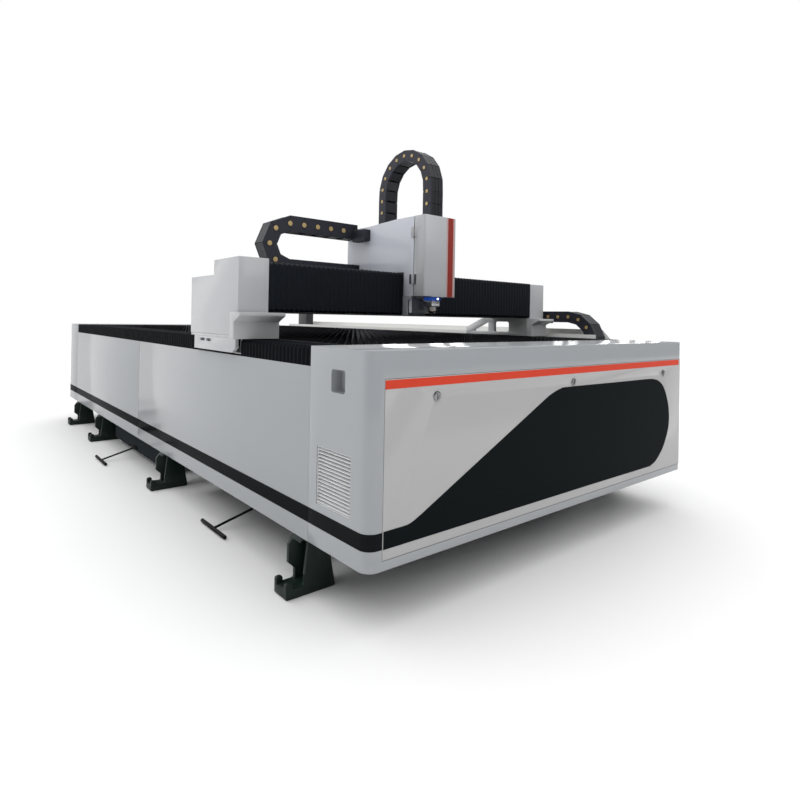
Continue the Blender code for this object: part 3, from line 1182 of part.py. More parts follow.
# Carriage cover: a bridge-shaped housing, hollow from below and from the front
def cover_outline(inset):
    front = DOOR_SEAM_Y + DOOR_SEAM
    return [(front, COVER_FRONT_BOTTOM), (COVER_BRIDGE_Y - inset, COVER_FRONT_BOTTOM),
            (COVER_BRIDGE_Y - inset, COVER_BRIDGE_Z), (COVER_CHAIN_Y - inset, COVER_BRIDGE_Z),
            (COVER_CHAIN_Y - inset, COVER_CHAIN_Z + inset), (COVER_REAR_Y - inset, COVER_CHAIN_Z + inset),
            (COVER_REAR_Y - inset, COVER_REAR_TOP - inset), (COVER_SLOPE_END_Y, COVER_REAR_TOP - inset),
            (COVER_SLOPE_Y, COVER_TOP - inset), (front, COVER_TOP - inset)]


def cover_hollow():
    low = COVER_FRONT_BOTTOM - OVERSHOOT
    front = DOOR_SEAM_Y + DOOR_SEAM - OVERSHOOT
    sheet = COVER_SHEET
    return [(front, low), (COVER_CHAIN_Y - sheet, low), (COVER_CHAIN_Y - sheet, COVER_CHAIN_Z + sheet),
            (COVER_REAR_Y - sheet, COVER_CHAIN_Z + sheet), (COVER_REAR_Y - sheet, COVER_REAR_TOP - sheet),
            (COVER_SLOPE_END_Y, COVER_REAR_TOP - sheet), (COVER_SLOPE_Y, COVER_TOP - sheet),
            (front, COVER_TOP - sheet)]


cover = soften(plate("carriage_cover", cover_outline(0.0), "X", COVER_LEFT, COVER_RIGHT),
               min(COVER_EDGE, COVER_SHEET * EDGE_SHARE))
cut(cover, plate("cover_hollow", cover_hollow(), "X", COVER_LEFT + COVER_SHEET, COVER_RIGHT - COVER_SHEET))
arch_x = (ARCH_X - ARCH_PLAY, ARCH_X + ARCH_WIDTH + ARCH_PLAY)
leg_half = ARCH_HEIGHT / 2.0 + ARCH_PLAY
front_leg = ARCH_Y - ARCH_RADIUS
cut(cover, block("rear_leg_hole", arch_x, (post_y - leg_half, post_y + leg_half),
                 (COVER_REAR_TOP - OVERSHOOT, COVER_TOP + OVERSHOOT)),
    block("front_leg_notch", arch_x, (DOOR_SEAM_Y - OVERSHOOT, front_leg + leg_half),
          (COVER_TOP - OVERSHOOT, COVER_TOP + OVERSHOOT)))
paint(cover, "gantry_paint")

# Side guard below the cover and the bracket of the short chain
guard_x = (COVER_LEFT, COVER_LEFT + GUARD_SHEET)
guard_top = COVER_FRONT_BOTTOM - SEAT_GAP
guard_ring = rounded([(GUARD_FRONT_Y, GUARD_BOTTOM), (GUARD_REAR_Y, GUARD_BOTTOM), (GUARD_REAR_Y, guard_top),
                      (GUARD_SHOULDER_Y, guard_top), (GUARD_SHOULDER_Y, GUARD_SHOULDER_Z),
                      (GUARD_FRONT_Y, GUARD_SHOULDER_Z - BRACKET_ROUNDING)], BRACKET_ROUNDING / 2.0)
paint(plate("side_guard", guard_ring, "X", *guard_x), "gantry_paint")
bracket_x = (COVER_LEFT - SEAT_GAP - BRACKET_REACH, COVER_LEFT - SEAT_GAP)
bracket_y = (BRACKET_FRONT_Y, SHORT_CHAIN_Y - SEAT_GAP)
bracket = plate("short_chain_bracket", rounded(rectangle(bracket_y, (BRACKET_BOTTOM, BRACKET_TOP)),
                                               BRACKET_ROUNDING), "X", *bracket_x)
paint(bracket, "frame_paint")

# Energy chain that arches over the carriage, from the post to the head slide
energy_chain("arch_chain", ARCH_Z - ARCH_FRONT_END, ARCH_Z - ARCH_REAR_END, ARCH_RADIUS, ARCH_HEIGHT,
             ARCH_PITCH, (ARCH_X, ARCH_X + ARCH_WIDTH),
             lambda a, b, side: (side, ARCH_Y - b, ARCH_Z - a))

# Hinges on the left face, each with its leaf on the cover
hinge_x = COVER_LEFT - SEAT_GAP - HINGE_RADIUS
hinge_y = DOOR_SEAM_Y + DOOR_SEAM / 2.0
for name, hinge_z in zip(("lower", "upper"), HINGE_ZS):
    hinge = drum(f"door_hinge_{name}", (hinge_x, hinge_y, hinge_z), HINGE_RADIUS, HINGE_LENGTH, "Z",
                 SMALL_ROUND_SIDES)
    leaf_x = (COVER_LEFT - SEAT_GAP - HINGE_LEAF_SHEET, COVER_LEFT - SEAT_GAP)
    join(hinge, block(f"hinge_leaf_{name}", leaf_x, (hinge_y + RUNNING_GAP, hinge_y + HINGE_LEAF),
                      (hinge_z - HINGE_LENGTH / 2.0, hinge_z + HINGE_LENGTH / 2.0)))
    paint(smooth(hinge), "frame_paint")

# Front door of the cover, on the hinges
add_anchor("door_axis", (hinge_x, hinge_y, COVER_FRONT_BOTTOM), "carriage_slide")


def door_plan(inset):
    ring = [(COVER_LEFT + inset, DOOR_SEAM_Y), (COVER_LEFT + inset, DOOR_FRONT_Y + inset),
            (COVER_RIGHT - inset, DOOR_FRONT_Y + inset), (COVER_RIGHT - inset, DOOR_SEAM_Y)]
    left = corner_arc((COVER_LEFT + DOOR_CORNER, DOOR_FRONT_Y + DOOR_CORNER), DOOR_CORNER - inset, math.pi)
    right = corner_arc((COVER_RIGHT - DOOR_CORNER, DOOR_FRONT_Y + DOOR_CORNER), DOOR_CORNER - inset,
                       1.5 * math.pi)
    return [ring[0]] + left + right + [ring[3]]


door_hollow = door_plan(COVER_SHEET)
door_hollow[0] = (door_hollow[0][0], DOOR_SEAM_Y + OVERSHOOT)
door_hollow[-1] = (door_hollow[-1][0], DOOR_SEAM_Y + OVERSHOOT)
door = plate("cover_door", door_plan(0.0), "Z", COVER_FRONT_BOTTOM, COVER_TOP)
cut(door, plate("door_hollow", door_hollow, "Z", COVER_FRONT_BOTTOM - OVERSHOOT, COVER_TOP - COVER_SHEET),
    block("door_leg_notch", arch_x, (front_leg - leg_half, DOOR_SEAM_Y + OVERSHOOT),
          (COVER_TOP - OVERSHOOT, COVER_TOP + OVERSHOOT)))
# Each hinge leaf of the door ends just short of the barrel
leaf_offset = SEAT_GAP + HINGE_RADIUS - HINGE_LEAF_SHEET
leaf_rear = hinge_y - math.sqrt((HINGE_RADIUS + SEAT_GAP) ** 2 - leaf_offset ** 2)
for name, hinge_z in zip(("lower", "upper"), HINGE_ZS):
    join(door, block(f"door_leaf_{name}", (COVER_LEFT - HINGE_LEAF_SHEET, COVER_LEFT + COVER_SHEET / 2.0),
                     (hinge_y - HINGE_LEAF, leaf_rear),
                     (hinge_z - HINGE_LENGTH / 2.0, hinge_z + HINGE_LENGTH / 2.0)))
paint(smooth(door), "gantry_paint")

# Cutting head on its slide, with the arm that takes the front leg of the upper chain
add_anchor("head_slide", (HEAD_X, HEAD_Y, NOZZLE_TIP), "carriage_slide")
slide_y = (HEAD_SLIDE_FRONT_Y, HEAD_SLIDE_FRONT_Y + HEAD_SLIDE_SHEET)
slide = block("head_slide_plate", (HEAD_X - HEAD_SLIDE_HALF_WIDTH, HEAD_X + HEAD_SLIDE_HALF_WIDTH), slide_y,
              (HEAD_SLIDE_BOTTOM, HEAD_SLIDE_TOP))
join(slide, block("head_guide", (HEAD_X - HEAD_BLOCK_HALF_WIDTH, HEAD_X + HEAD_BLOCK_HALF_WIDTH),
                  (slide_y[1] - RUNNING_GAP, CARRIAGE_PLATE_FRONT_Y - SEAT_GAP),
                  (HEAD_SLIDE_BOTTOM + HEAD_ARM_SHEET, HEAD_BLOCK_TOP)))
join(slide, block("chain_arm", (ARCH_X, ARCH_X + ARCH_WIDTH),
                  (HEAD_ARM_FRONT_Y, HEAD_SLIDE_FRONT_Y + HEAD_SLIDE_SHEET / 2.0),
                  (ARCH_FRONT_END - SEAT_GAP - HEAD_ARM_SHEET, ARCH_FRONT_END - SEAT_GAP)))
cut(slide, block("head_slot", (rail_x[0] - RUNNING_GAP, rail_x[1] + RUNNING_GAP),
                 (head_rail_front - RUNNING_GAP, CARRIAGE_PLATE_FRONT_Y + OVERSHOOT),
                 (HEAD_SLIDE_BOTTOM - OVERSHOOT, HEAD_SLIDE_TOP + OVERSHOOT)))
paint(slide, "machined")
head_x = (HEAD_X - HEAD_HALF_WIDTH, HEAD_X + HEAD_HALF_WIDTH)
head_low = RING_TOP + SEAT_GAP
head = soften(block("cutting_head", head_x, (HEAD_Y - HEAD_HALF_WIDTH, HEAD_SLIDE_FRONT_Y - SEAT_GAP),
                    (head_low, HEAD_TOP)), HEAD_EDGE)
paint(head, "machined")
ring = drum("head_ring", (HEAD_X, HEAD_Y, (RING_BOTTOM + RING_TOP) / 2.0), RING_RADIUS,
            RING_TOP - RING_BOTTOM, "Z")
paint(smooth(ring), "ring_blue")
sensor = soften(block("sensor_block", (HEAD_X - SENSOR_HALF, HEAD_X + SENSOR_HALF),
                      (HEAD_Y - SENSOR_HALF, HEAD_Y + SENSOR_HALF),
                      (SENSOR_BOTTOM, RING_BOTTOM - SEAT_GAP)), SENSOR_EDGE)
paint(sensor, "machined")


# Nozzle: turned cone with a bore, profile run down its outer side
def turned_piece(name, profile, place):
    mesh = bpy.data.meshes.new(name)
    points = [(radius, 0.0, height) for radius, height in profile]
    edges = [(index, (index + 1) % len(points)) for index in range(len(points))]
    mesh.from_pydata(points, edges, [])
    obj = new_object(name, mesh, Matrix.Translation(place))
    spin = obj.modifiers.new("turn", "SCREW")
    spin.steps = ROUND_SIDES
    spin.render_steps = ROUND_SIDES
    spin.use_merge_vertices = True
    spin.merge_threshold = 0.00001
    spin.use_smooth_shade = True
    return obj


nozzle_top = SENSOR_BOTTOM - SEAT_GAP - NOZZLE_TIP
nozzle_profile = [(NOZZLE_BORE, nozzle_top), (NOZZLE_RADIUS, nozzle_top),
                  (NOZZLE_RADIUS, NOZZLE_SHOULDER_Z - NOZZLE_TIP), (NOZZLE_TIP_RADIUS, 0.0),
                  (NOZZLE_BORE, 0.0)]
paint(turned_piece("nozzle", nozzle_profile, (HEAD_X, HEAD_Y, NOZZLE_TIP)), "nozzle_copper")
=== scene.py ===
import json
import math

import bmesh
import bpy
from mathutils import Matrix, Vector


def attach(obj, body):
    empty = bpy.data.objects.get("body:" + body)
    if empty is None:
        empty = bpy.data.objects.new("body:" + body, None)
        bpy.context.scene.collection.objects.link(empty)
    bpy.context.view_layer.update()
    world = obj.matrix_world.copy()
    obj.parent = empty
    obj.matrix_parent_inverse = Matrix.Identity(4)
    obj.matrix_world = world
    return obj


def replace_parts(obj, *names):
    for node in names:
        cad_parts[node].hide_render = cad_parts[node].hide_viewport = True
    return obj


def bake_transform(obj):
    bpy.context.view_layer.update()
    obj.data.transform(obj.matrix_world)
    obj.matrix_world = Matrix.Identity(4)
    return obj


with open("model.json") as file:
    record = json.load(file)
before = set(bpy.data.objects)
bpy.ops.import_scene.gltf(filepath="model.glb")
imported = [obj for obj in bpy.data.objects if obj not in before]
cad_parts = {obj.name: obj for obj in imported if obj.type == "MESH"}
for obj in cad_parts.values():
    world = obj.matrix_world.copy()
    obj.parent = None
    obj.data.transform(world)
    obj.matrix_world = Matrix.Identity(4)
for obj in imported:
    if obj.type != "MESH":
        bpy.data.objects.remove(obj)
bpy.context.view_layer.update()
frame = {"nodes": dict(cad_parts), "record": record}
CAD = frame["nodes"]

# Bed coordinates: x from the left side face, y from the front face, z from the bed's lower edge
BED_CORNER = Vector((-1.1230, -2.47365, 0.205))


def at(x, y, z):
    return BED_CORNER + Vector((x, y, z))


# Sizes
BED_WIDTH = 2.2
FLOOR_SIZE = 60.0
FLOOR_Z = -0.001


# Shader groups
def give(tree, value, socket):
    """Link an output to the socket, or set the socket to a number or a colour."""
    if hasattr(value, "node"):
        tree.links.new(value, socket)
    else:
        socket.default_value = (*value, 1.0) if socket.type == "RGBA" else value


def shader_group(name, inputs, outputs):
    """A group of nodes: an input given as None is a vector, and all the rest are numbers."""
    tree = bpy.data.node_groups.new(name, "ShaderNodeTree")
    for label, value in inputs.items():
        kind = "NodeSocketVector" if value is None else "NodeSocketFloat"
        socket = tree.interface.new_socket(name=label, in_out="INPUT", socket_type=kind)
        if value is not None:
            socket.default_value = value
    for label in outputs:
        tree.interface.new_socket(name=label, in_out="OUTPUT", socket_type="NodeSocketFloat")
    return tree, tree.nodes.new("NodeGroupInput").outputs, tree.nodes.new("NodeGroupOutput").inputs


def put_out(tree, result, **values):
    for label, value in values.items():
        tree.links.new(value, result[label])
    return tree


def add_math(tree, operation, *values):
    node = tree.nodes.new("ShaderNodeMath")
    node.operation = operation
    for value, socket in zip(values, node.inputs):
        give(tree, value, socket)
    return node.outputs[0]


def add_noise(tree, vector, scale, detail, roughness):
    node = tree.nodes.new("ShaderNodeTexNoise")
    for label, value in (("Vector", vector), ("Scale", scale), ("Detail", detail), ("Roughness", roughness)):
        give(tree, value, node.inputs[label])
    return node.outputs["Fac"]


def stretch(tree, vector, scale):
    node = tree.nodes.new("ShaderNodeMapping")
    tree.links.new(vector, node.inputs["Vector"])
    node.inputs["Scale"].default_value = scale
    return node.outputs["Vector"]


def axes_of(tree, vector):
    split = tree.nodes.new("ShaderNodeSeparateXYZ")
    tree.links.new(vector, split.inputs[0])
    return split.outputs


def blend_colours(tree, mask, first, second, mode="MIX"):
    node = tree.nodes.new("ShaderNodeMix")
    node.data_type = "RGBA"
    node.blend_type = mode
    for value, socket in ((mask, 0), (first, 6), (second, 7)):
        give(tree, value, node.inputs[socket])
    return node.outputs[2]


def coat_group():
    """Sprayed paint: fine orange peel, slow tone drift, and dust that settles on level faces."""
    tree, given, result = shader_group(
        "sprayed_coat", {"Place": None, "Peel Scale": 260.0, "Drift": 0.05, "Dust": 0.2},
        ("Peel", "Tone", "Dust", "Rub"))
    place = given["Place"]
    slow = add_noise(tree, place, 1.7, 3.0, 0.55)
    face = axes_of(tree, tree.nodes.new("ShaderNodeNewGeometry").outputs["Normal"])
    level = add_math(tree, "MULTIPLY", add_math(tree, "MAXIMUM", face["Z"], 0.0), given["Dust"])
    marks = add_noise(tree, stretch(tree, place, (3.0, 3.0, 14.0)), 6.0, 6.0, 0.7)
    return put_out(
        tree, result, Peel=add_noise(tree, place, given["Peel Scale"], 2.0, 0.45),
        Tone=add_math(tree, "MULTIPLY_ADD", add_math(tree, "SUBTRACT", slow, 0.5), given["Drift"], 1.0),
        Dust=add_math(tree, "MULTIPLY", level, add_noise(tree, place, 9.0, 5.0, 0.65)),
        Rub=add_math(tree, "SUBTRACT", marks, 0.5))


def band_group():
    """Mask that is 1 between two heights or widths and falls off over a short edge."""
    tree, given, result = shader_group(
        "printed_band", {"Along": 0.0, "Low": 0.0, "High": 1.0, "Edge": 0.0006}, ("Mask",))
    masks = []
    for first, second in (("Along", "Low"), ("High", "Along")):
        gap = add_math(tree, "SUBTRACT", given[first], given[second])
        step = add_math(tree, "DIVIDE", gap, given["Edge"])
        masks.append(add_math(tree, "MINIMUM", add_math(tree, "MAXIMUM", step, 0.0), 1.0))
    return put_out(tree, result, Mask=add_math(tree, "MULTIPLY", *masks))


def grain_group():
    """Fine lines left by grinding or rolling, along one axis, with a few deeper scratches."""
    tree, given, result = shader_group(
        "worked_metal", {"Place": None, "Scale": 300.0}, ("Lines", "Blotch", "Scratch"))
    place, scale = given["Place"], given["Scale"]
    fine = add_noise(tree, place, add_math(tree, "MULTIPLY", scale, 0.3), 1.0, 0.5)
    return put_out(
        tree, result, Lines=add_noise(tree, place, scale, 3.0, 0.6),
        Blotch=add_noise(tree, place, 14.0, 4.0, 0.6), Scratch=add_math(tree, "GREATER_THAN", fine, 0.66))


def cast_group():
    """Sand-cast skin: coarse lumps, fine grit and patches of grime."""
    tree, given, result = shader_group("cast_skin", {"Place": None}, ("Height", "Grime"))
    place = given["Place"]
    coarse = add_noise(tree, place, 60.0, 3.0, 0.55)
    grit = add_noise(tree, place, 420.0, 2.0, 0.6)
    return put_out(tree, result, Height=add_math(tree, "MULTIPLY_ADD", grit, 0.35, coarse),
                   Grime=add_noise(tree, place, 11.0, 5.0, 0.65))


def cloth_group():
    """Coated cloth: two crossed thread waves and a slow sheen change."""
    tree, given, result = shader_group("coated_cloth", {"Place": None, "Thread": 2600.0}, ("Height", "Wear"))
    axes = axes_of(tree, given["Place"])
    waves = [add_math(tree, "SINE", add_math(tree, "MULTIPLY", along, given["Thread"]))
             for along in (add_math(tree, "ADD", axes["X"], axes["Y"]), axes["Z"])]
    return put_out(tree, result, Height=add_math(tree, "MULTIPLY", add_math(tree, "ADD", *waves), 0.5),
                   Wear=add_noise(tree, given["Place"], 22.0, 5.0, 0.65))


GROUPS = {"coat": coat_group(), "band": band_group(), "grain": grain_group(), "cast": cast_group(),
          "cloth": cloth_group()}


# Materials
class Finish:
    """One material: a Principled BSDF on Object coordinates, with its surface nodes."""

    def __init__(self, name, colour, roughness, metallic=0.0):
        self.material = bpy.data.materials.new(name)
        self.material.use_nodes = True
        self.tree = self.material.node_tree
        self.shader = self.tree.nodes["Principled BSDF"]
        self.put(Base_Color=colour, Roughness=roughness, Metallic=metallic)
        self.place = self.tree.nodes.new("ShaderNodeTexCoord").outputs["Object"]

    def put(self, **values):
        """Constants and links, each on the shader's own socket."""
        for label, value in values.items():
            give(self.tree, value, self.shader.inputs[label.replace("_", " ")])

    def group(self, kind, **values):
        node = self.tree.nodes.new("ShaderNodeGroup")
        node.node_tree = GROUPS[kind]
        for label, value in values.items():
            give(self.tree, value, node.inputs[label.replace("_", " ")])
        return node.outputs

    def scaled(self, value, by, base):
        """The value times a number, added to the base."""
        return add_math(self.tree, "MULTIPLY_ADD", value, by, base)

    def blend(self, mask, first, second):
        return blend_colours(self.tree, mask, first, second)

    def tinted(self, tone, colour):
        """The colour times a grey tone."""
        return blend_colours(self.tree, 1.0, colour, tone, "MULTIPLY")

    def bump(self, height, distance):
        node = self.tree.nodes.new("ShaderNodeBump")
        for label, value in (("Strength", 1.0), ("Distance", distance), ("Height", height)):
            give(self.tree, value, node.inputs[label])
        self.put(Normal=node.outputs["Normal"])


PAINT_DUST = (0.46, 0.45, 0.44)
PLASTIC_DUST = (0.16, 0.16, 0.155)
CAST_DRY = (0.002, 0.014, 0.010)
CAST_GRIMY = (0.012, 0.013, 0.012)
BAND_COAT = 0.12
BAND = (0.070, 0.127)


def paint_finish(name, colour, roughness, peel=0.00002, drift=0.04, dust=0.10, band=None, coat=0.7):
    """Sprayed paint under a clear coat, with one printed band: (axis, low, high, colour)."""
    made = Finish(name, colour, roughness)
    surface = made.group("coat", Place=made.place, Drift=drift, Dust=dust)
    shade = made.tinted(surface["Tone"], colour)
    if band:
        axis, low, high, band_colour = band
        mask = made.group("band", Along=axes_of(made.tree, made.place)[axis], Low=low, High=high)["Mask"]
        shade = made.blend(mask, shade, band_colour)
        coat = made.scaled(mask, BAND_COAT - coat, coat)
    rough = made.scaled(surface["Rub"], 0.06, roughness)
    made.put(Base_Color=made.blend(surface["Dust"], shade, PAINT_DUST),
             Roughness=made.scaled(surface["Dust"], 0.5, rough), Specular_IOR_Level=0.0, Coat_Weight=coat,
             Coat_Roughness=0.14)
    made.bump(surface["Peel"], peel)
    return made.material


def metal_finish(name, colour, roughness, lines, scale=300.0, height=0.00003, blotch=0.18,
                 dark=(0.35, 0.33, 0.30), spread=0.30):
    """Worked metal: lines gives how far the grain is drawn out along each axis."""
    made = Finish(name, colour, roughness, 1.0)
    grain = made.group("grain", Place=stretch(made.tree, made.place, lines), Scale=scale)
    spots = made.group("grain", Place=made.place, Scale=scale)["Blotch"]
    rough = made.scaled(add_math(made.tree, "SUBTRACT", grain["Lines"], 0.5), spread, roughness)
    made.put(Base_Color=made.blend(add_math(made.tree, "MULTIPLY", spots, blotch), colour, dark),
             Roughness=made.scaled(grain["Scratch"], 0.08, rough))
    made.bump(grain["Lines"], height)
    return made.material


def foot_finish():
    """Dark green enamel on a sand casting."""
    made = Finish("foot_paint", (0.003, 0.012, 0.010), 0.40)
    skin = made.group("cast", Place=made.place)
    grime = add_math(made.tree, "MULTIPLY", skin["Grime"], 0.55)
    made.put(Base_Color=made.blend(grime, CAST_DRY, CAST_GRIMY),
             Roughness=made.scaled(skin["Grime"], 0.35, 0.30), Specular_IOR_Level=0.3)
    made.bump(skin["Height"], 0.0011)
    return made.material


def bellows_finish(name, colour, rubbed_colour, shine=0.10):
    """Black coated cloth with a faint weave and rubbed patches."""
    made = Finish(name, colour, 0.55)
    cloth = made.group("cloth", Place=made.place)
    rubbed = add_math(made.tree, "MAXIMUM", add_math(made.tree, "SUBTRACT", cloth["Wear"], 0.5), 0.0)
    made.put(Base_Color=made.blend(add_math(made.tree, "MULTIPLY", rubbed, 0.7), colour, rubbed_colour),
             Roughness=made.scaled(cloth["Wear"], 0.30, 0.42), Specular_IOR_Level=shine)
    made.bump(cloth["Height"], 0.00012)
    return made.material


def plastic_finish(name, colour, roughness, worn, shine=0.3):
    """Moulded plastic, paler where it has been rubbed, with dust on its level faces."""
    made = Finish(name, colour, roughness)
    surface = made.group("coat", Place=made.place, Peel_Scale=900.0, Drift=0.25, Dust=0.15)
    rub = add_math(made.tree, "MAXIMUM", add_math(made.tree, "MULTIPLY", surface["Rub"], 1.2), 0.0)
    shade = made.blend(rub, made.tinted(surface["Tone"], colour), worn)
    made.put(Base_Color=made.blend(surface["Dust"], shade, PLASTIC_DUST),
             Roughness=made.scaled(surface["Rub"], 0.4, roughness), Specular_IOR_Level=shine)
    made.bump(surface["Peel"], 0.00010)
    return made.material


def film_finish(name, colour, roughness, gloss):
    """Printed film: almost smooth, with faint wiping marks in its gloss."""
    made = Finish(name, colour, roughness)
    surface = made.group("coat", Place=made.place, Peel_Scale=120.0, Drift=0.10, Dust=0.0)
    made.put(Base_Color=made.tinted(surface["Tone"], colour),
             Roughness=made.scaled(surface["Rub"], 0.22, roughness), Specular_IOR_Level=0.0,
             Coat_Weight=gloss, Coat_Roughness=0.10)
    made.bump(surface["Peel"], 0.00002)
    return made.material


def glow_finish(name, colour, strength):
    """A lit lens, and the blue head ring whose glow is painted light: its own colour, and light that varies a
    little over it.
    """
    made = Finish(name, colour, 0.25)
    surface = made.group("coat", Place=made.place, Peel_Scale=500.0, Drift=0.3, Dust=0.0)
    made.put(Emission_Color=made.tinted(surface["Tone"], colour), Emission_Strength=strength)
    made.bump(surface["Peel"], 0.00005)
    return made.material


def floor_finish(name, colour, roughness):
    """Plain pale floor with a slow change of tone."""
    made = Finish(name, colour, roughness)
    surface = made.group("coat", Place=made.place, Peel_Scale=30.0, Drift=0.02, Dust=0.0)
    made.put(Base_Color=made.tinted(surface["Tone"], colour))
    made.bump(surface["Peel"], 0.0002)
    return made.material


def each_of(maker, **kinds):
    """One material for each name, from its values and a last dict of extras."""
    return {name: maker(name, *values, **extras) for name, (*values, extras) in kinds.items()}


SIDE_BAND = ("Z", at(0, 0, BAND[0]).z, at(0, 0, BAND[1]).z, (0.0045, 0.006, 0.0075))
ALL_WAYS = (1.0, 1.0, 1.0)
FINISHES = {
    "foot_paint": foot_finish(),
    **each_of(
        paint_finish,
        panel_paint=((0.355, 0.370, 0.388), 0.27, {"band": SIDE_BAND, "dust": 0.06}),
        front_paint=((0.445, 0.440, 0.442), 0.27, {"dust": 0.0}),
        gantry_paint=((0.50, 0.51, 0.53), 0.34, {"dust": 0.06}),
        guard_paint=((0.36, 0.375, 0.40), 0.40, {"dust": 0.08}),
        cover_paint=((0.50, 0.51, 0.52), 0.38, {"dust": 0.08}),
        # Painted light: a paler copy of the grey paint, which lifts the shade on the right gantry foot and
        # its cover, and inside the louvre grille.
        light_paint=((0.68, 0.69, 0.70), 0.36, {"dust": 0.06}),
        # Painted light in part: the carriage cover gets a paler, bluer copy of the gantry paint, which lifts
        # the shade the housing casts on it.
        carriage_paint=((0.64, 0.66, 0.73), 0.34, {"dust": 0.06}),
        tray_paint=((0.80, 0.80, 0.78), 0.40, {"dust": 0.15}),
        riser_paint=((0.060, 0.057, 0.063), 0.42, {}),
        grey_sheet=((0.26, 0.27, 0.285), 0.45, {"dust": 0.20, "coat": 0.1}),
        frame_paint=((0.030, 0.034, 0.038), 0.55, {"peel": 0.00012, "drift": 0.3, "dust": 0.25, "coat": 0.0}),
        handle_black=((0.008, 0.008, 0.009), 0.38, {"peel": 0.0001, "coat": 0.1})),
    **each_of(
        bellows_finish,
        bellows_black=((0.0075, 0.0100, 0.0140), (0.026, 0.031, 0.040), {}),
        # Painted shade: the rail folds get a darker copy of the bellows cloth, against the brighter light
        # from the left that falls on the rails.
        rail_cloth=((0.0036, 0.0044, 0.0062), (0.009, 0.011, 0.014), {"shine": 0.02})),
    **each_of(
        plastic_finish,
        chain_black=((0.024, 0.025, 0.037), 0.50, (0.050, 0.052, 0.068), {}),
        chain_bar=((0.008, 0.009, 0.013), 0.44, (0.028, 0.030, 0.038), {"shine": 0.40}),
        chain_collar=((0.012, 0.009, 0.007), 0.50, (0.030, 0.022, 0.016), {}),
        chain_pin=((0.50, 0.36, 0.15), 0.38, (0.62, 0.50, 0.30), {"shine": 0.6})),
    **each_of(
        metal_finish,
        slat_steel=((0.020, 0.021, 0.026), 0.60, (1.0, 1.0, 0.2),
                    {"blotch": 0.9, "dark": (0.018, 0.017, 0.018)}),
        rail_steel=((0.60, 0.61, 0.62), 0.25, (1.0, 0.02, 1.0), {}),
        machined=((0.62, 0.63, 0.65), 0.30, (0.05, 1.0, 1.0), {"blotch": 0.10}),
        lock_chrome=((0.24, 0.24, 0.25), 0.20, ALL_WAYS,
                     {"scale": 700.0, "height": 0.00001, "blotch": 0.10, "spread": 0.12}),
        screw_steel=((0.42, 0.42, 0.43), 0.30, ALL_WAYS, {"scale": 800.0, "height": 0.00002}),
        nozzle_copper=((0.50, 0.47, 0.45), 0.30, (0.1, 0.1, 1.0),
                       {"scale": 700.0, "blotch": 0.25, "dark": (0.20, 0.16, 0.13)})),
    **each_of(
        glow_finish,
        # The blue head ring is gloss plastic, not a lamp: its glow is painted light.
        ring_blue=((0.015, 0.07, 0.40), 0.45, {}),
        ring_light=((0.85, 0.92, 1.0), 3.0, {})),
    **each_of(
        film_finish,
        film_black=((0.0028, 0.0052, 0.0062), 0.16, 0.10, {}),
        stripe_red=((0.64, 0.052, 0.022), 0.30, 0.3, {}),
        door_red=((0.31, 0.050, 0.040), 0.34, 0.2, {}),
        stripe_pale=((0.56, 0.38, 0.37), 0.34, 0.3, {})),
}


# Mesh helpers
def new_piece(name, mesh, finish):
    mesh.materials.clear()
    mesh.materials.append(FINISHES[finish])
    obj = bpy.data.objects.new(name, mesh)
    bpy.context.scene.collection.objects.link(obj)
    return obj


def settled(obj, body):
    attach(obj, body)
    return obj


def evaluated_mesh(obj):
    bpy.context.view_layer.update()
    deps = bpy.context.evaluated_depsgraph_get()
    return bpy.data.meshes.new_from_object(obj.evaluated_get(deps), depsgraph=deps)


def mesh_from(work, name):
    bmesh.ops.recalc_face_normals(work, faces=work.faces)
    mesh = bpy.data.meshes.new(name)
    work.to_mesh(mesh)
    work.free()
    return mesh


def sheet_from(name, outline, low, high, holes=()):
    """A flat outline in (a, b) turned into a closed sheet from low to high along the third axis."""
    curve = bpy.data.curves.new(name, "CURVE")
    curve.dimensions = "2D"
    curve.fill_mode = "BOTH"
    curve.extrude = (high - low) / 2.0
    for ring in (outline, *holes):
        spline = curve.splines.new("POLY")
        spline.points.add(len(ring) - 1)
        for point, (a, b) in zip(spline.points, ring):
            point.co = (a, b, 0.0, 1.0)
        spline.use_cyclic_u = True
    source = bpy.data.objects.new(name, curve)
    bpy.context.scene.collection.objects.link(source)
    mesh = evaluated_mesh(source)
    bpy.data.objects.remove(source, do_unlink=True)
    mesh.transform(Matrix.Translation((0.0, 0.0, (low + high) / 2.0)))
    work = bmesh.new()
    work.from_mesh(mesh)
    bmesh.ops.remove_doubles(work, verts=work.verts, dist=0.000005)
    return mesh_from(work, name)


TO_FRONT = Matrix(((1, 0, 0, 0), (0, 0, 1, 0), (0, 1, 0, 0), (0, 0, 0, 1)))


def upright_sheet(mesh, origin):
    """Stand a flat sheet up, so that its outline is seen from the front."""
    mesh.transform(TO_FRONT)
    mesh.transform(Matrix.Translation(origin))
    work = bmesh.new()
    work.from_mesh(mesh)
    return mesh_from(work, mesh.name)


def smooth_ring(outline, steps):
    """A closed smooth line through the points, after Catmull and Rom."""
    ring = []
    count = len(outline)
    points = [Vector(point) for point in outline]
    for index in range(count):
        p0, p1, p2, p3 = (points[(index + k) % count] for k in (-1, 0, 1, 2))
        for step in range(steps):
            t = step / steps
            ring.append(tuple(0.5 * (2.0 * p1 + (p2 - p0) * t
                                     + (2.0 * p0 - 5.0 * p1 + 4.0 * p2 - p3) * t * t
                                     + (3.0 * p1 - p0 - 3.0 * p2 + p3) * t * t * t)))
    return ring


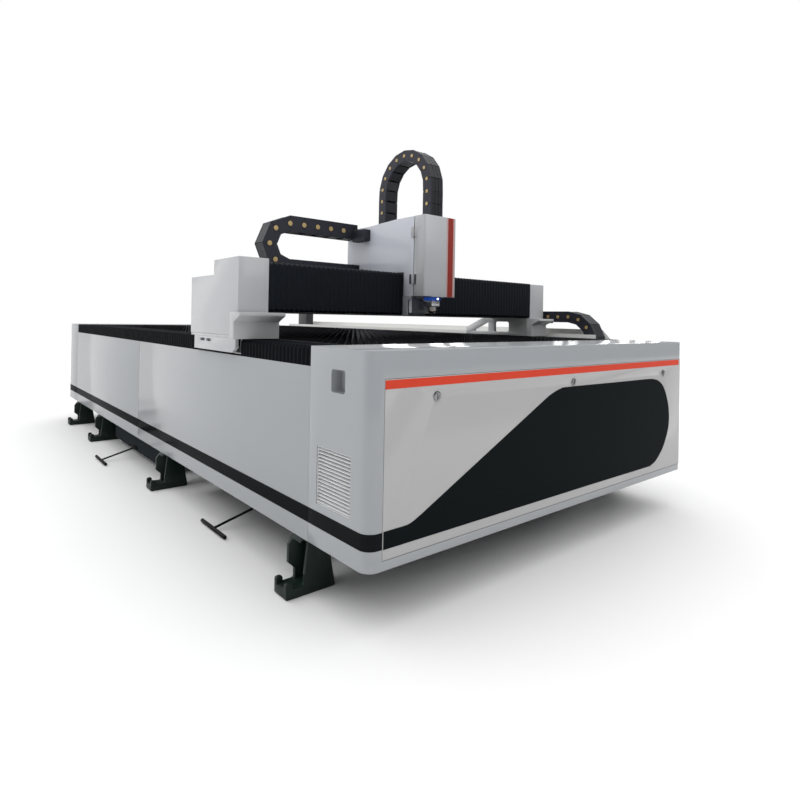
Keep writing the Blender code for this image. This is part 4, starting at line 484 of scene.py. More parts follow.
def loft_mesh(name, rings, edge=0.0, segments=1):
    """A closed body through rings of corners, with its edges softened where a width is given."""
    work = bmesh.new()
    loops = [[work.verts.new(corner) for corner in ring] for ring in rings]
    work.faces.new(loops[0])
    work.faces.new(loops[-1])
    for near, far in zip(loops, loops[1:]):
        for index in range(len(near)):
            after = (index + 1) % len(near)
            work.faces.new((near[index], near[after], far[after], far[index]))
    if edge:
        bmesh.ops.recalc_face_normals(work, faces=work.faces)
        bmesh.ops.bevel(work, geom=work.edges[:], offset=edge, segments=segments, affect="EDGES", profile=0.5)
    return mesh_from(work, name)


def box_mesh(name, x, y, z, edge):
    """A softened box between two corners, in bed coordinates."""
    return loft_mesh(name, [[at(x[0], y[0], height), at(x[1], y[0], height), at(x[1], y[1], height),
                             at(x[0], y[1], height)] for height in z], edge, 2)


def turned_mesh(name, profile, sides):
    """A body turned about Z from a profile of (radius, height), closed at both ends."""
    angles = [2.0 * math.pi * k / sides for k in range(sides)]
    return loft_mesh(name, [[(radius * math.cos(angle), radius * math.sin(angle), height) for angle in angles]
                            for radius, height in profile])


def joined(name, meshes):
    """One mesh of several closed shells."""
    work = bmesh.new()
    for mesh in meshes:
        work.from_mesh(mesh)
    made = bpy.data.meshes.new(name)
    work.to_mesh(made)
    work.free()
    return made


# Geometry trees
def linked(tree, *links):
    """Links from (node, output, node, input)."""
    for source, output, target, entry in links:
        tree.links.new(source.outputs[output], target.inputs[entry])
    return tree


def geometry_tree(name, inputs):
    tree = bpy.data.node_groups.new(name, "GeometryNodeTree")
    tree.interface.new_socket(name="Geometry", in_out="INPUT", socket_type="NodeSocketGeometry")
    for label, kind in inputs:
        tree.interface.new_socket(name=label, in_out="INPUT", socket_type=kind)
    tree.interface.new_socket(name="Geometry", in_out="OUTPUT", socket_type="NodeSocketGeometry")
    return tree, tree.nodes.new("NodeGroupInput"), tree.nodes.new("NodeGroupOutput")


def copies_tree():
    """A copy of the pattern on every point, turned by the point's attribute, then painted."""
    tree, entry, result = geometry_tree("copies_on_points",
                                        (("Pattern", "NodeSocketObject"), ("Finish", "NodeSocketMaterial")))
    pattern, turn, rotation, copy, real, coat = (
        tree.nodes.new(kind) for kind in (
            "GeometryNodeObjectInfo", "GeometryNodeInputNamedAttribute", "FunctionNodeEulerToRotation",
            "GeometryNodeInstanceOnPoints", "GeometryNodeRealizeInstances", "GeometryNodeSetMaterial"))
    turn.data_type = "FLOAT_VECTOR"
    turn.inputs["Name"].default_value = "turn"
    return linked(
        tree, (entry, "Pattern", pattern, "Object"), (turn, "Attribute", rotation, "Euler"),
        (entry, "Geometry", copy, "Points"), (pattern, "Geometry", copy, "Instance"),
        (rotation, "Rotation", copy, "Rotation"), (copy, "Instances", real, "Geometry"),
        (real, "Geometry", coat, "Geometry"), (entry, "Finish", coat, "Material"),
        (coat, "Geometry", result, "Geometry"))


def smooth_tree():
    """Smooth shading apart from edges that turn more than the given angle."""
    tree, entry, result = geometry_tree("smooth_below_angle", (("Angle", "NodeSocketFloat"),))
    faces, edges, angle, test = (
        tree.nodes.new(kind) for kind in (
            "GeometryNodeSetShadeSmooth", "GeometryNodeSetShadeSmooth", "GeometryNodeInputMeshEdgeAngle",
            "FunctionNodeCompare"))
    test.data_type = "FLOAT"
    test.operation = "LESS_EQUAL"
    edges.domain = "EDGE"
    return linked(
        tree, (entry, "Geometry", faces, "Geometry"), (angle, "Unsigned Angle", test, 0),
        (entry, "Angle", test, 1), (faces, "Geometry", edges, "Geometry"),
        (test, "Result", edges, "Shade Smooth"), (edges, "Geometry", result, "Geometry"))


COPIES = copies_tree()
SMOOTH = smooth_tree()


def socket_of(tree, label):
    for item in tree.interface.items_tree:
        if item.in_out == "INPUT" and item.name == label:
            return item.identifier


def copied(name, pattern, places, finish):
    """One piece with a copy of the pattern mesh at each (point, turn)."""
    cloud = bpy.data.meshes.new(name + "_points")
    cloud.from_pydata([tuple(point) for point, turn in places], [], [])
    turns = cloud.attributes.new("turn", "FLOAT_VECTOR", "POINT")
    turns.data.foreach_set("vector", [value for point, turn in places for value in turn])
    points = bpy.data.objects.new(name + "_points", cloud)
    source = bpy.data.objects.new(name + "_pattern", pattern)
    for obj in (points, source):
        bpy.context.scene.collection.objects.link(obj)
    step = points.modifiers.new("copies", "NODES")
    step.node_group = COPIES
    step[socket_of(COPIES, "Pattern")] = source
    step[socket_of(COPIES, "Finish")] = FINISHES[finish]
    mesh = evaluated_mesh(points)
    for obj in (points, source):
        bpy.data.objects.remove(obj, do_unlink=True)
    mesh.name = name
    return new_piece(name, mesh, finish)


def smooth_shaded(obj, angle=35.0):
    obj.data.shade_smooth()
    obj.data.set_sharp_from_angle(angle=math.radians(angle))
    return obj


# Carried-over nodes
WELD_REACH = 0.00002
FLAT_ANGLE = math.radians(0.6)
SHARP_ANGLE = math.radians(38.0)
USUAL_EDGE = 0.0009
FOOT_EDGE = 0.002


def dress(node, finish, edge):
    """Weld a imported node's loose triangles, soften its edges and shade it."""
    obj = CAD[node]
    obj.data.materials.clear()
    obj.data.materials.append(FINISHES[finish])
    obj.modifiers.new("weld", "WELD").merge_threshold = WELD_REACH
    flat = obj.modifiers.new("one_face_a_flat", "DECIMATE")
    flat.decimate_type = "DISSOLVE"
    flat.angle_limit = FLAT_ANGLE
    if edge:
        soft = obj.modifiers.new("soft_edges", "BEVEL")
        soft.width = edge
        soft.segments = 2
        soft.limit_method = "ANGLE"
        soft.angle_limit = SHARP_ANGLE
    shade = obj.modifiers.new("shading", "NODES")
    shade.node_group = SMOOTH
    shade[socket_of(SMOOTH, "Angle")] = SHARP_ANGLE


def by_node(table):
    """A table from value to nodes, turned round."""
    return {node: value for value, nodes in table.items() for node in nodes}


EDGES = by_node({
    0.0: ("front_hood", "rear_hood", "cutting_head", "sensor_block", "drive_housing_left", "end_cover_right",
          "carriage_cover", "nozzle"),
    0.0004: ("louvre_grille", "panel_lock_1", "panel_lock_2", "panel_lock_3"),
    0.0008: ("cover_door", "slag_drawer_1", "slag_drawer_2"),
    0.0012: ("gantry_foot_left", "gantry_foot_right"),
    0.0015: ("bed_frame",),
    0.002: ("head_ring",)})
OTHER_FINISH = by_node({
    "guard_paint": ("side_guard",),
    "chain_black": ("short_chain_bracket", "long_chain_arm"),
    "gantry_paint": ("door_hinge_upper", "door_hinge_lower"),
    "cover_paint": ("foot_cover_left", "gantry_foot_left"),
    # These three take the paler paint as painted light against their shade.
    "light_paint": ("foot_cover_right", "gantry_foot_right", "louvre_grille"),
    "tray_paint": ("long_chain_tray",),
    # The carriage cover's paler paint is partly painted light against the housing's shade.
    "carriage_paint": ("carriage_cover",),
    "riser_paint": ("cable_riser",)})
for entry in frame["record"]["subparts"]:
    node = entry["node"]
    if node == "slat_table" or "bellows" in node or node.endswith("_chain"):
        continue
    edge = EDGES.get(node, FOOT_EDGE if node.startswith("foot_") else USUAL_EDGE)
    dress(node, OTHER_FINISH.get(node, entry["material_slot"]), edge)


# Printed films
FIELD_OUTLINE = ((0.0655, 0.128), (0.140, 0.1285), (0.180, 0.132), (0.222, 0.149), (0.290, 0.182),
                 (0.884, 0.474), (0.945, 0.503), (0.985, 0.518), (1.030, 0.529), (1.090, 0.533),
                 (1.500, 0.530), (1.800, 0.528), (1.875, 0.523), (1.930, 0.508), (1.975, 0.478),
                 (2.010, 0.430), (2.036, 0.370), (2.046, 0.306), (2.036, 0.240), (1.993, 0.165),
                 (1.945, 0.118), (1.894, 0.085), (1.845, 0.072), (1.790, 0.0685), (1.190, 0.070),
                 (0.0655, 0.069))
FILM_SHEET = 0.0005
FILM_GAP = 0.0001
FRONT_STRIPE = (0.589, 0.6185)
FRONT_STRIPE_X = (0.0635, 2.1520)
DOOR_FACE_Y = 0.798
DOOR_STRIPE_X = (1.1095, 1.1485)
DOOR_STRIPE_EDGE = 0.0105
DOOR_Z = (0.944, 1.380)
SMOOTH_STEPS = 6


def film(name, outline, y, finish, body):
    mesh = upright_sheet(sheet_from(name, outline, -FILM_SHEET, 0.0), at(0.0, y - FILM_GAP, 0.0))
    settled(new_piece(name, mesh, finish), body)


def strip(x, z):
    return [(x[0], z[0]), (x[1], z[0]), (x[1], z[1]), (x[0], z[1])]


field_curve = smooth_ring(FIELD_OUTLINE, SMOOTH_STEPS)[SMOOTH_STEPS:-2 * SMOOTH_STEPS]
film("front_dark_field", [FIELD_OUTLINE[0]] + field_curve + [FIELD_OUTLINE[-1]], 0.0, "film_black", "bed")
film("front_red_stripe", strip(FRONT_STRIPE_X, FRONT_STRIPE), 0.0, "stripe_red", "bed")
film("door_red_stripe", strip(DOOR_STRIPE_X, DOOR_Z), DOOR_FACE_Y - FILM_GAP - FILM_SHEET, "door_red", "door")
pale_x = (DOOR_STRIPE_X[0] - DOOR_STRIPE_EDGE, DOOR_STRIPE_X[1] + DOOR_STRIPE_EDGE)
film("door_pale_stripe", strip(pale_x, DOOR_Z), DOOR_FACE_Y, "stripe_pale", "door")


# Slats
SLAT_LEFT = 0.1595
SLAT_TOP = 0.7168
SLAT_TOOTH = 0.034
SLAT_LOW = 0.5980
SLAT_SHEET = 0.004
SLAT_PITCH = 0.060
TOOTH_PITCH = 0.042
TOOTH_TIP_SHARE = 0.08
SLAT_Y = (0.437, 4.513)
CARRIER = (0.5816, 0.6262)
CARRIER_SHEET = 0.010
CARRIER_X = (0.1546, 2.0454)
CARRIER_Y = (0.420, 4.530)


def slat_pattern():
    """One sheet with a sawtooth upper edge, across the bed."""
    right = BED_WIDTH - SLAT_LEFT
    teeth = round((right - SLAT_LEFT) / TOOTH_PITCH)
    pitch = (right - SLAT_LEFT) / teeth
    tip = pitch * TOOTH_TIP_SHARE
    ring = [(SLAT_LEFT, SLAT_LOW), (right, SLAT_LOW)]
    for index in range(teeth, 0, -1):
        low = SLAT_LEFT + pitch * index
        ring.append((low, SLAT_TOP - SLAT_TOOTH))
        ring.append((low - pitch / 2.0 + tip, SLAT_TOP))
        ring.append((low - pitch / 2.0 - tip, SLAT_TOP))
    ring.append((SLAT_LEFT, SLAT_TOP - SLAT_TOOTH))
    mesh = sheet_from("slat", ring, -SLAT_SHEET / 2.0, SLAT_SHEET / 2.0)
    return upright_sheet(mesh, Vector())


slat_count = int((SLAT_Y[1] - SLAT_Y[0]) / SLAT_PITCH) + 1
slat_start = (SLAT_Y[0] + SLAT_Y[1] - SLAT_PITCH * (slat_count - 1)) / 2.0
slats = copied("slat_rows", slat_pattern(),
               [(at(0.0, slat_start + SLAT_PITCH * k, 0.0), (0.0, 0.0, 0.0)) for k in range(slat_count)],
               "slat_steel")
ring_out = strip(CARRIER_X, CARRIER_Y)
ring_in = strip((CARRIER_X[0] + CARRIER_SHEET, CARRIER_X[1] - CARRIER_SHEET),
                (CARRIER_Y[0] + CARRIER_SHEET, CARRIER_Y[1] - CARRIER_SHEET))
carrier_mesh = sheet_from("slat_carrier_ring", ring_out, *CARRIER, holes=[ring_in])
carrier_mesh.transform(Matrix.Translation(BED_CORNER))
carrier = new_piece("slat_carrier_ring", carrier_mesh, "slat_steel")
for obj in (slats, carrier):
    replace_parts(settled(obj, "bed"), "slat_table")


# Bellows
FOLD_CREST_SHARE = 0.16
RAIL_BASE, RAIL_TOP = 0.6406, 0.7148
RAIL_X = (0.0002, 0.1494)
RAIL_CHANNEL = (0.024, 0.136, 0.694)
RAIL_FOLD = 0.0024
RAIL_PITCH = 0.030
SHOULDER = 0.010
# A part's name, the two ends of its folds, and two places just past those ends
RAIL_SPANS = (("front", 0.3656, 0.9714, 0.3653, 0.9717), ("rear", 1.5606, 4.5844, 4.5847, 1.5603))
BEAM_SPANS = (("left", 0.1306, 0.9374, 0.1303, 0.9377), ("right", 1.1736, 2.0694, 2.0697, 1.1733))
BEAM_Y = (0.9724, 1.0494)
BEAM_Z = (0.8423, 1.0748)
BEAM_WALL = 0.014
BEAM_SKIN = 0.016
BEAM_SOFT = 0.008
BEAM_FACE_FOLD = 0.0024
BEAM_TOP_FOLD = 0.0065
BEAM_PITCH = 0.0265


def folded(name, crest, valley, axis, low, high, pitch, node, finish="bellows_black"):
    """Pleats between a crest and a valley section: a narrow rounded crest, a narrow valley."""
    folds = max(2, round((high - low) / pitch))
    step = (high - low) / folds
    half = FOLD_CREST_SHARE / 2.0
    rings = [(low + step * (index + share), section) for index in range(folds)
             for share, section in ((0.0, crest), (half, crest), (0.5 - half, valley), (0.5 + half, valley),
                                    (1.0 - half, crest))]
    corners = [[at(a, along, b) if axis == "Y" else at(along, a, b) for a, b in section]
               for along, section in rings + [(high, crest)]]
    obj = new_piece(name, loft_mesh(name, corners), finish)
    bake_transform(obj)
    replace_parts(obj, node)


def rail_section(fold, side):
    """Folded cover over the bed rail: top with a soft shoulder on both sides, channel below."""
    out, into = RAIL_X
    near, far, roof = RAIL_CHANNEL
    ring = [(out + fold, RAIL_BASE), (near, RAIL_BASE), (near, roof), (far, roof), (far, RAIL_BASE),
            (into - fold, RAIL_BASE), (into - fold, RAIL_TOP - SHOULDER - fold),
            (into - SHOULDER - fold, RAIL_TOP - fold), (out + SHOULDER + fold, RAIL_TOP - fold),
            (out + fold, RAIL_TOP - SHOULDER - fold)]
    if side == "right":
        ring = [(BED_WIDTH - a, b) for a, b in reversed(ring)]
    return ring


for side in ("left", "right"):
    for part, low, high, start, end in RAIL_SPANS:
        # The rail folds' darker cloth is painted shade.
        folded(f"rail_folds_{side}_{part}", rail_section(0.0, side), rail_section(RAIL_FOLD, side), "Y",
               low, high, RAIL_PITCH, f"rail_bellows_{side}_{part}",
               "rail_cloth")


def beam_section(face, top):
    """A front skin and two short flanges, open at the back; face and top are how deep it folds."""
    front, rear = BEAM_Y
    low, high = BEAM_Z
    low, high, front = low + top, high - top, front + face
    return [(rear, low), (rear, low + BEAM_WALL), (front + BEAM_SKIN, low + BEAM_WALL),
            (front + BEAM_SKIN, high - BEAM_WALL), (rear, high - BEAM_WALL), (rear, high),
            (front + BEAM_SOFT, high), (front, high - BEAM_SOFT), (front, low + BEAM_SOFT),
            (front + BEAM_SOFT, low)]


for side, low, high, start, end in BEAM_SPANS:
    folded(f"beam_folds_{side}", beam_section(0.0, 0.0), beam_section(BEAM_FACE_FOLD, BEAM_TOP_FOLD), "X",
           low, high, BEAM_PITCH, f"beam_bellows_{side}")


# Energy chains
LINK_SEAM = 0.0005
LINK_EDGE = 0.0008
LINK_WALL_SHARE = 0.11
LINK_SETBACK = 0.0016
LINK_COVER = 0.005
LINK_COVER_DROP = 0.0012
LINK_RIB_GAP = 0.0020
PIN_SHARE, PIN_RISE = 0.155, 0.0013
COLLAR_SHARE, COLLAR_RISE = 0.205, 0.0007
BUTTON_SIDES = 18
ROUND_ANGLE = 30.0


def prism(corners, low, high, edge):
    """A four-sided form in X and Z with its thickness along Y and softened edges."""
    return loft_mesh("prism", [[(x, y, z) for x, z in corners] for y in (low, high)], edge)


def link_meshes(outer, inner, half, width, inner_share):
    """One link, X along the chain, Z towards the inside of its bend, Y across.

    outer and inner are half its length at those edges, half is half its height."""
    wall = width * LINK_WALL_SHARE
    face = width / 2.0 - LINK_SETBACK
    side = [(LINK_SEAM - outer, -half), (outer - LINK_SEAM, -half), (inner - LINK_SEAM, half),
            (LINK_SEAM - inner, half)]
    plates = [prism(side, low, low + wall, LINK_EDGE) for low in (-face, face - wall)]
    span = 2.0 * (face - wall)
    rib = (span - 2.0 * LINK_RIB_GAP) / 3.0
    low, high = -half + LINK_COVER_DROP, -half + LINK_COVER_DROP + LINK_COVER
    reach = outer - 2.0 * LINK_SEAM - LINK_COVER * (outer - inner) / (2.0 * half)
    cover = [(-reach, low), (reach, low), (reach, high), (-reach, high)]
    bars = []
    for index in range(3):
        start = -span / 2.0 + (rib + LINK_RIB_GAP) * index
        bars.append(prism(cover, start, start + rib, LINK_EDGE))
    reach = inner * inner_share
    low, high = half - LINK_COVER_DROP - LINK_COVER, half - LINK_COVER_DROP
    bars.append(prism([(-reach, low), (reach, low), (reach, high), (-reach, high)], -span / 2.0, span / 2.0,
                      LINK_EDGE))
    return joined("plates", plates), joined("bars", bars)


def button_mesh(radius, height, width):
    """A flat-headed button on both sides of the chain."""
    face = width / 2.0 - LINK_SETBACK
    profile = ((radius, -height), (radius, height * 0.7), (radius * 0.82, height))
    buttons = []
    for side in (-1.0, 1.0):
        button = turned_mesh("button", profile, BUTTON_SIDES)
        button.transform(Matrix.Rotation(-side * math.pi / 2.0, 4, "X"))
        button.transform(Matrix.Translation((0.0, side * face, 0.0)))
        buttons.append(button)
    return joined("buttons", buttons)


def chain_point(run_a, radius, along):
    """Point on the chain's middle line: a along the runs from the bend, b up from its middle."""
    past = along - run_a
    if past <= 0.0:
        return Vector((-past, radius))
    turn = past / radius
    if turn >= math.pi:
        return Vector((past - math.pi * radius, -radius))
    return Vector((-math.sin(turn), math.cos(turn))) * radius


def chain_joints(run_a, run_b, radius, pitch, bends, shift):
    """How far along the chain its joints lie: evenly round the bend, then a pitch apart to both ends."""
    total = run_a + math.pi * radius + run_b
    step = math.pi * radius / bends
    joints = [run_a + step * (index + shift) for index in range(bends if shift else bends + 1)]
    while joints[0] > pitch:
        joints.insert(0, joints[0] - pitch)
    while joints[-1] < total - pitch:
        joints.append(joints[-1] + pitch)
    return joints, total


def chain(name, run_a, run_b, radius, height, width, pitch, bends, shift, inner_share, station, place_piece,
          turn=0.0):
    """Links between the joints and buttons on them, in three stretches: moving, bend and fixed."""
    joints, total = chain_joints(run_a, run_b, radius, pitch, bends, shift)
    bend_end = run_a + math.pi * radius
    slack = pitch * 0.01

    def stretch_of(along):
        if along < run_a - slack:
            return "moving"
        return "bend" if along <= bend_end + slack else "fixed"

    half_turn = math.pi / (2.0 * bends)
    shapes = {}
    buttons = {"moving": [], "bend": [], "fixed": []}
    ends = [0.0] + joints + [total]
    for near, far in zip(ends, ends[1:]):
        first, second = (chain_point(run_a, radius, along) for along in (near, far))
        heading = second - first
        spot = station((first + second) / 2.0, math.pi + math.atan2(-heading.y, -heading.x))
        bent = near >= run_a - slack and far <= bend_end + slack
        lean = 0.0 if bent or far <= run_a or near >= bend_end else height / 2.0 * math.tan(half_turn / 2.0)
        key = (stretch_of((near + far) / 2.0), "bent" if bent else (round(heading.length, 4), lean))
        shapes.setdefault(key, []).append(spot)
    for along in joints:
        point = chain_point(run_a, radius, along)
        angle = math.pi + min(max((along - run_a) / radius, 0.0), math.pi)
        buttons[stretch_of(along)].append(station(point, angle))
    pieces = {}
    for (part, kind), places in shapes.items():
        if kind == "bent":
            outer, inner = ((radius + side * height / 2.0) * math.sin(half_turn) for side in (1.0, -1.0))
            sizes = (outer, inner, height / 2.0 * math.cos(half_turn))
        else:
            length, lean = kind
            sizes = (length / 2.0 + lean, length / 2.0 - lean, height / 2.0)
        for label, pattern, finish in zip(("plates", "bars"), link_meshes(*sizes, width, inner_share),
                                          ("chain_black", "chain_bar")):
            pieces.setdefault((part, label, finish), []).append((pattern, places))
    for part, places in buttons.items():
        for label, share, rise, finish in (("pins", PIN_SHARE, PIN_RISE, "chain_pin"),
                                           ("collars", COLLAR_SHARE, COLLAR_RISE, "chain_collar")):
            pieces[(part, label, finish)] = [(button_mesh(height * share, rise, width), places)]
    for (part, label, finish), patterns in pieces.items():
        made = []
        for pattern, places in patterns:
            pattern.transform(Matrix.Rotation(turn, 4, "Z"))
            made.append(copied(f"{name}_{part}_{label}", pattern, places, finish))
        if len(made) > 1:
            mesh = joined(f"{name}_{part}_{label}", [obj.data for obj in made])
            for obj in made:
                bpy.data.objects.remove(obj, do_unlink=True)
            made = [new_piece(f"{name}_{part}_{label}", mesh, finish)]
        smooth_shaded(made[0], ROUND_ANGLE)
        place_piece(made[0], part)
        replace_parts(made[0], name)


def blended():
    def place_piece(obj, part):
        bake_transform(obj)
    return place_piece


LONG_X, LONG_WIDTH, LONG_HEIGHT, LONG_RADIUS, LONG_FLOOR = 2.262, 0.116, 0.075, 0.1815, 0.4523
LONG_BEND, LONG_MOVING, LONG_FIXED, LONG_MIDDLE = 0.800, 1.100, 2.450, 0.710
LONG_PITCH, LONG_BENDS, LONG_INNER_SHARE = 0.0815, 7, 0.80


def long_station(place, angle):
    """Beside the bed: a along Y from the bend, b up from the middle of the bend."""
    middle = LONG_FLOOR + LONG_HEIGHT / 2.0 + LONG_RADIUS
    return (at(LONG_X + LONG_WIDTH / 2.0, LONG_BEND + place[0], middle + place[1]),
            (0.0, -angle, math.pi / 2.0))


chain("long_chain", LONG_MOVING - LONG_BEND, LONG_FIXED - LONG_BEND, LONG_RADIUS, LONG_HEIGHT, LONG_WIDTH,
      LONG_PITCH, LONG_BENDS, 0.0, LONG_INNER_SHARE, long_station,
      blended())

SHORT_Y, SHORT_WIDTH, SHORT_HEIGHT, SHORT_RADIUS, SHORT_FLOOR = 1.417, 0.100, 0.090, 0.123, 1.100
SHORT_BEND, SHORT_MOVING, SHORT_FIXED, SHORT_MIDDLE = 0.475, 0.9377, 1.000, 0.414
SHORT_PITCH, SHORT_BENDS, SHORT_INNER_SHARE = 0.0898, 4, 0.62


def short_station(place, angle):
    """Above the shelf: a along X from the bend, b up from the middle of the bend."""
    return (at(SHORT_BEND + place[0], SHORT_Y + SHORT_WIDTH / 2.0, SHORT_FLOOR + SHORT_RADIUS + place[1]),
            (0.0, -angle, 0.0))


chain("short_chain", SHORT_MOVING - SHORT_BEND, SHORT_FIXED - SHORT_BEND, SHORT_RADIUS, SHORT_HEIGHT,
      SHORT_WIDTH, SHORT_PITCH, SHORT_BENDS, 0.0, SHORT_INNER_SHARE, short_station,
      blended())

ARCH_X, ARCH_WIDTH, ARCH_Y, ARCH_Z, ARCH_RADIUS = 1.000, 0.095, 1.060, 1.556, 0.200
ARCH_FRONT_END, ARCH_REAR_END, ARCH_HEIGHT, ARCH_REACH = 1.225, 1.250, 0.065, 0.167
ARCH_PITCH, ARCH_BENDS, ARCH_SHIFT, ARCH_INNER_SHARE = 0.0690, 9, 0.5, 0.88


def arch_station(place, angle):
    """Over the carriage: a runs down from the bend, b towards the front."""
    return (at(ARCH_X + ARCH_WIDTH / 2.0, ARCH_Y - place[1], ARCH_Z - place[0]),
            (math.pi / 2.0 - angle, 0.0, 0.0))


def place_arch(obj, part):
    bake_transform(obj)


chain("arch_chain", ARCH_Z - ARCH_FRONT_END, ARCH_Z - ARCH_REAR_END, ARCH_RADIUS, ARCH_HEIGHT, ARCH_WIDTH,
      ARCH_PITCH, ARCH_BENDS, ARCH_SHIFT, ARCH_INNER_SHARE, arch_station, place_arch, math.pi / 2.0)


# Head and fasteners
HEAD_X = 1.085
CLAMP_LINE = ((0.982, 0.9405), (1.004, 0.9190), (1.0540, 0.9165))
CLAMP_SHEET = 0.0022
CLAMP_Y = (0.866, 0.912)
LENS_FRONT, LENS_Z = 0.846, 0.9330
LENS_PROFILE = ((0.0058, -0.0006), (0.0056, 0.0008), (0.0042, 0.0019), (0.0018, 0.0024))
SLIDE_RAILS = ((0.964, 0.984), (1.145, 1.163))
SLIDE_RAIL_Y = (0.9480, 0.9628)
SLIDE_RAIL_Z = (0.8535, 0.9405)
SLIDE_RAIL_EDGE = 0.0012
HINGE_BAR_Z = (1.010, 1.062)
HINGE_BAR_EDGE = 0.0004
HINGE_BARS = (("hinge_bar_cover", (0.9249, 0.9262), (0.892, 0.905), "carriage"),
              ("hinge_bar_door", (0.9330, 0.9354), (0.861, 0.873), "door"))


def clamp_mesh():
    """A thin sheet bent along its line, leaning down to the block under the ring."""
    over = [(x, z + CLAMP_SHEET) for x, z in reversed(CLAMP_LINE)]
    mesh = sheet_from("head_clamp", list(CLAMP_LINE) + over, -CLAMP_Y[1], -CLAMP_Y[0])
    mesh.transform(Matrix.Rotation(math.pi / 2.0, 4, "X"))
    mesh.transform(Matrix.Translation(BED_CORNER))
    return mesh


lens_mesh = turned_mesh("ring_lens", LENS_PROFILE, 24)
lens_mesh.transform(Matrix.Rotation(math.pi / 2.0, 4, "X"))
lens_mesh.transform(Matrix.Translation(at(HEAD_X, LENS_FRONT, LENS_Z)))
settled(new_piece("head_clamp", clamp_mesh(), "machined"), "head")
settled(smooth_shaded(new_piece("ring_lens", lens_mesh, "ring_light")), "head")
for number, x in enumerate(SLIDE_RAILS, 1):
    rail_mesh = box_mesh("rail", x, SLIDE_RAIL_Y, SLIDE_RAIL_Z, SLIDE_RAIL_EDGE)
    settled(new_piece(f"slide_rail_{number}", rail_mesh, "machined"), "carriage")
for name, x, y, body in HINGE_BARS:
    bar_mesh = box_mesh(name, x, y, HINGE_BAR_Z, HINGE_BAR_EDGE)
    settled(new_piece(name, bar_mesh, "chain_black"), body)

SCREW_RADIUS = 0.0050
SCREW_PROFILE = ((1.0, -0.0004), (1.0, 0.0008), (0.80, 0.0020), (0.45, 0.0023), (0.38, 0.0009))
TO_REAR = (-math.pi / 2.0, 0.0, 0.0)
TO_RIGHT = (0.0, math.pi / 2.0, 0.0)


def screw_pattern():
    """A domed head with a round-bottomed socket, standing on its seat."""
    return turned_mesh("screw", [(SCREW_RADIUS * share, height) for share, height in SCREW_PROFILE], 16)


def corner_points(spans, inset, steps):
    """Points along both upright edges of a flat face; one of the three spans is a single value."""
    flat = next(index for index, span in enumerate(spans) if not isinstance(span, tuple))
    wide, tall = (index for index in range(3) if index != flat)
    points = []
    for side in (spans[wide][0] + inset, spans[wide][1] - inset):
        for step in range(steps):
            low, high = spans[tall][0] + inset, spans[tall][1] - inset
            point = [0.0, 0.0, 0.0]
            point[flat], point[wide], point[tall] = spans[flat], side, low + (high - low) * step / (steps - 1)
            points.append(at(*point))
    return points


# A face's body, the way its screws look, its spans in X, Y and Z, the screws' inset, and how many up an edge
SCREWED = (("gantry", TO_REAR, ((-0.019, 0.130), 1.560, (0.7303, 1.000)), 0.016, 3),
           ("gantry", TO_RIGHT, (2.219, (0.972, 1.400), (0.825, 1.071)), 0.018, 3),
           ("carriage", TO_REAR, ((0.938, 1.173), 1.525, (0.943, 1.381)), 0.018, 4))
for body in ("gantry", "carriage"):
    places = [(point, way) for part, way, spans, inset, steps in SCREWED if part == body
              for point in corner_points(spans, inset, steps)]
    screws = copied(f"cover_screws_{body}", screw_pattern(), places, "screw_steel")
    settled(smooth_shaded(screws, ROUND_ANGLE), body)


# Floor, light and camera
floor_mesh = bpy.data.meshes.new("studio_floor")
span = (-FLOOR_SIZE / 2.0, FLOOR_SIZE / 2.0)
floor_mesh.from_pydata([(x, y, FLOOR_Z) for x, y in strip(span, span)], [], [(0, 1, 2, 3)])
floor_mesh.materials.append(floor_finish("floor_pale", (0.88, 0.88, 0.88), 0.65))
floor = bpy.data.objects.new("studio_floor", floor_mesh)
bpy.context.scene.collection.objects.link(floor)

bpy.context.scene.view_settings.view_transform = "Standard"
world = bpy.data.worlds.new("studio_air")
bpy.context.scene.world = world
world.use_nodes = True
air = world.node_tree
towards = air.nodes.new("ShaderNodeTexCoord").outputs["Generated"]


def light_from(direction, low, high, strength):
    """Soft light from one side, fading between two cosines of the angle to it."""
    facing = air.nodes.new("ShaderNodeVectorMath")
    facing.operation = "DOT_PRODUCT"
    air.links.new(towards, facing.inputs[0])
    facing.inputs[1].default_value = Vector(direction).normalized()
    fade = air.nodes.new("ShaderNodeMapRange")
    fade.interpolation_type = "SMOOTHSTEP"
    air.links.new(facing.outputs["Value"], fade.inputs["Value"])
    for label, value in (("From Min", low), ("From Max", high), ("To Min", 0.0), ("To Max", strength)):
        fade.inputs[label].default_value = value
    return fade.outputs["Result"]


ROOM_LIGHT = 0.14
# The direction of each soft light, the two cosines it fades between, and its strength
SOFT_LIGHTS = (((0.0, 0.0, 1.0), 0.25, 0.95, 1.6), ((-0.75, 1.0, 0.05), 0.45, 0.97, 1.00),
               ((0.9, 0.7, 0.0), 0.2, 0.95, 0.22))
all_light = ROOM_LIGHT
for soft_light in SOFT_LIGHTS:
    all_light = add_math(air, "ADD", light_from(*soft_light), all_light)
seen = air.nodes.new("ShaderNodeLightPath").outputs["Is Camera Ray"]
backdrop = air.nodes.new("ShaderNodeMix")
air.links.new(seen, backdrop.inputs[0])
air.links.new(all_light, backdrop.inputs[2])
backdrop.inputs[3].default_value = 1.0
air.links.new(backdrop.outputs[0], air.nodes["Background"].inputs["Strength"])
air.nodes["Background"].inputs["Color"].default_value = (1.0, 1.0, 1.0, 1.0)


def lamp(name, place, target, size, power):
    light = bpy.data.lights.new(name, "AREA")
    light.shape = "RECTANGLE"
    light.size, light.size_y = size
    light.energy = power
    obj = bpy.data.objects.new(name, light)
    obj.location = place
    obj.rotation_euler = (Vector(target) - Vector(place)).to_track_quat("-Z", "Y").to_euler()
    obj.visible_camera = False
    bpy.context.scene.collection.objects.link(obj)


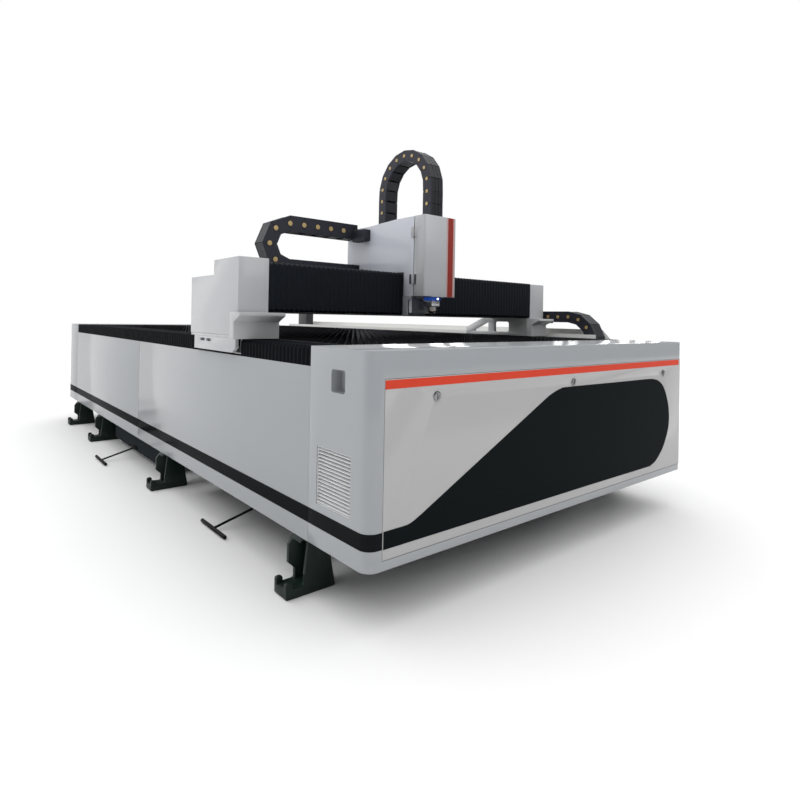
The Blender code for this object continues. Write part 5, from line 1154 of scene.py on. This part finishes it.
lamp("key_light", place=(2.5, -8.0, 4.6), target=(0.2, -1.5, 0.6), size=(5.0, 3.0), power=75.0)
# The lamps whose reflections lie in a row on the front hood: bearing in degrees, and width
CEILING_ROW = ((38.9, 0.60), (43.1, 0.32), (45.1, 0.32), (53.3, 0.25), (55.1, 0.20), (56.5, 0.20),
               (59.4, 0.20), (61.2, 0.20), (62.6, 0.20), (63.9, 0.16))
CEILING_AWAY, CEILING_Z, CEILING_POWER = 14.0, 1.80, 22.0
CEILING_X, CEILING_Y = -2.194, -3.919
HOOD_TOP = (-1.1, -2.4, 0.92)
for index, (bearing, width) in enumerate(CEILING_ROW):
    turn = math.radians(bearing)
    place = (CEILING_X + CEILING_AWAY * math.sin(turn), CEILING_Y + CEILING_AWAY * math.cos(turn), CEILING_Z)
    lamp(f"ceiling_row_{index + 1}", place, HOOD_TOP, (width, 1.0), CEILING_POWER * width)

CAMERA_PLACE = (-2.194, -3.91865, 1.024)
CAMERA_YAW, CAMERA_PITCH, CAMERA_ROLL = (math.radians(value) for value in (40.17, -0.38, -1.03))
FRAME_PIXELS = 800.0
FOCAL_PIXELS = 566.2
CENTRE_PIXEL = (406.9, 315.2)
ahead = math.cos(CAMERA_PITCH)
forward = Vector((math.sin(CAMERA_YAW) * ahead, math.cos(CAMERA_YAW) * ahead, -math.sin(CAMERA_PITCH)))
level = Vector((math.cos(CAMERA_YAW), -math.sin(CAMERA_YAW), 0.0))
below = forward.cross(level)
across_view = math.cos(CAMERA_ROLL) * level + math.sin(CAMERA_ROLL) * below
down_view = -math.sin(CAMERA_ROLL) * level + math.cos(CAMERA_ROLL) * below
lens = bpy.data.cameras.new("photo_camera")
lens.sensor_width = 36.0
lens.lens = FOCAL_PIXELS / FRAME_PIXELS * lens.sensor_width
lens.shift_x = (FRAME_PIXELS / 2.0 - CENTRE_PIXEL[0]) / FRAME_PIXELS
lens.shift_y = (CENTRE_PIXEL[1] - FRAME_PIXELS / 2.0) / FRAME_PIXELS
lens.clip_end = 200.0
camera = bpy.data.objects.new("photo_camera", lens)
axes = Matrix((across_view, -down_view, -forward)).transposed()
camera.matrix_world = Matrix.Translation(CAMERA_PLACE) @ axes.to_4x4()
bpy.context.scene.collection.objects.link(camera)
bpy.context.scene.camera = camera
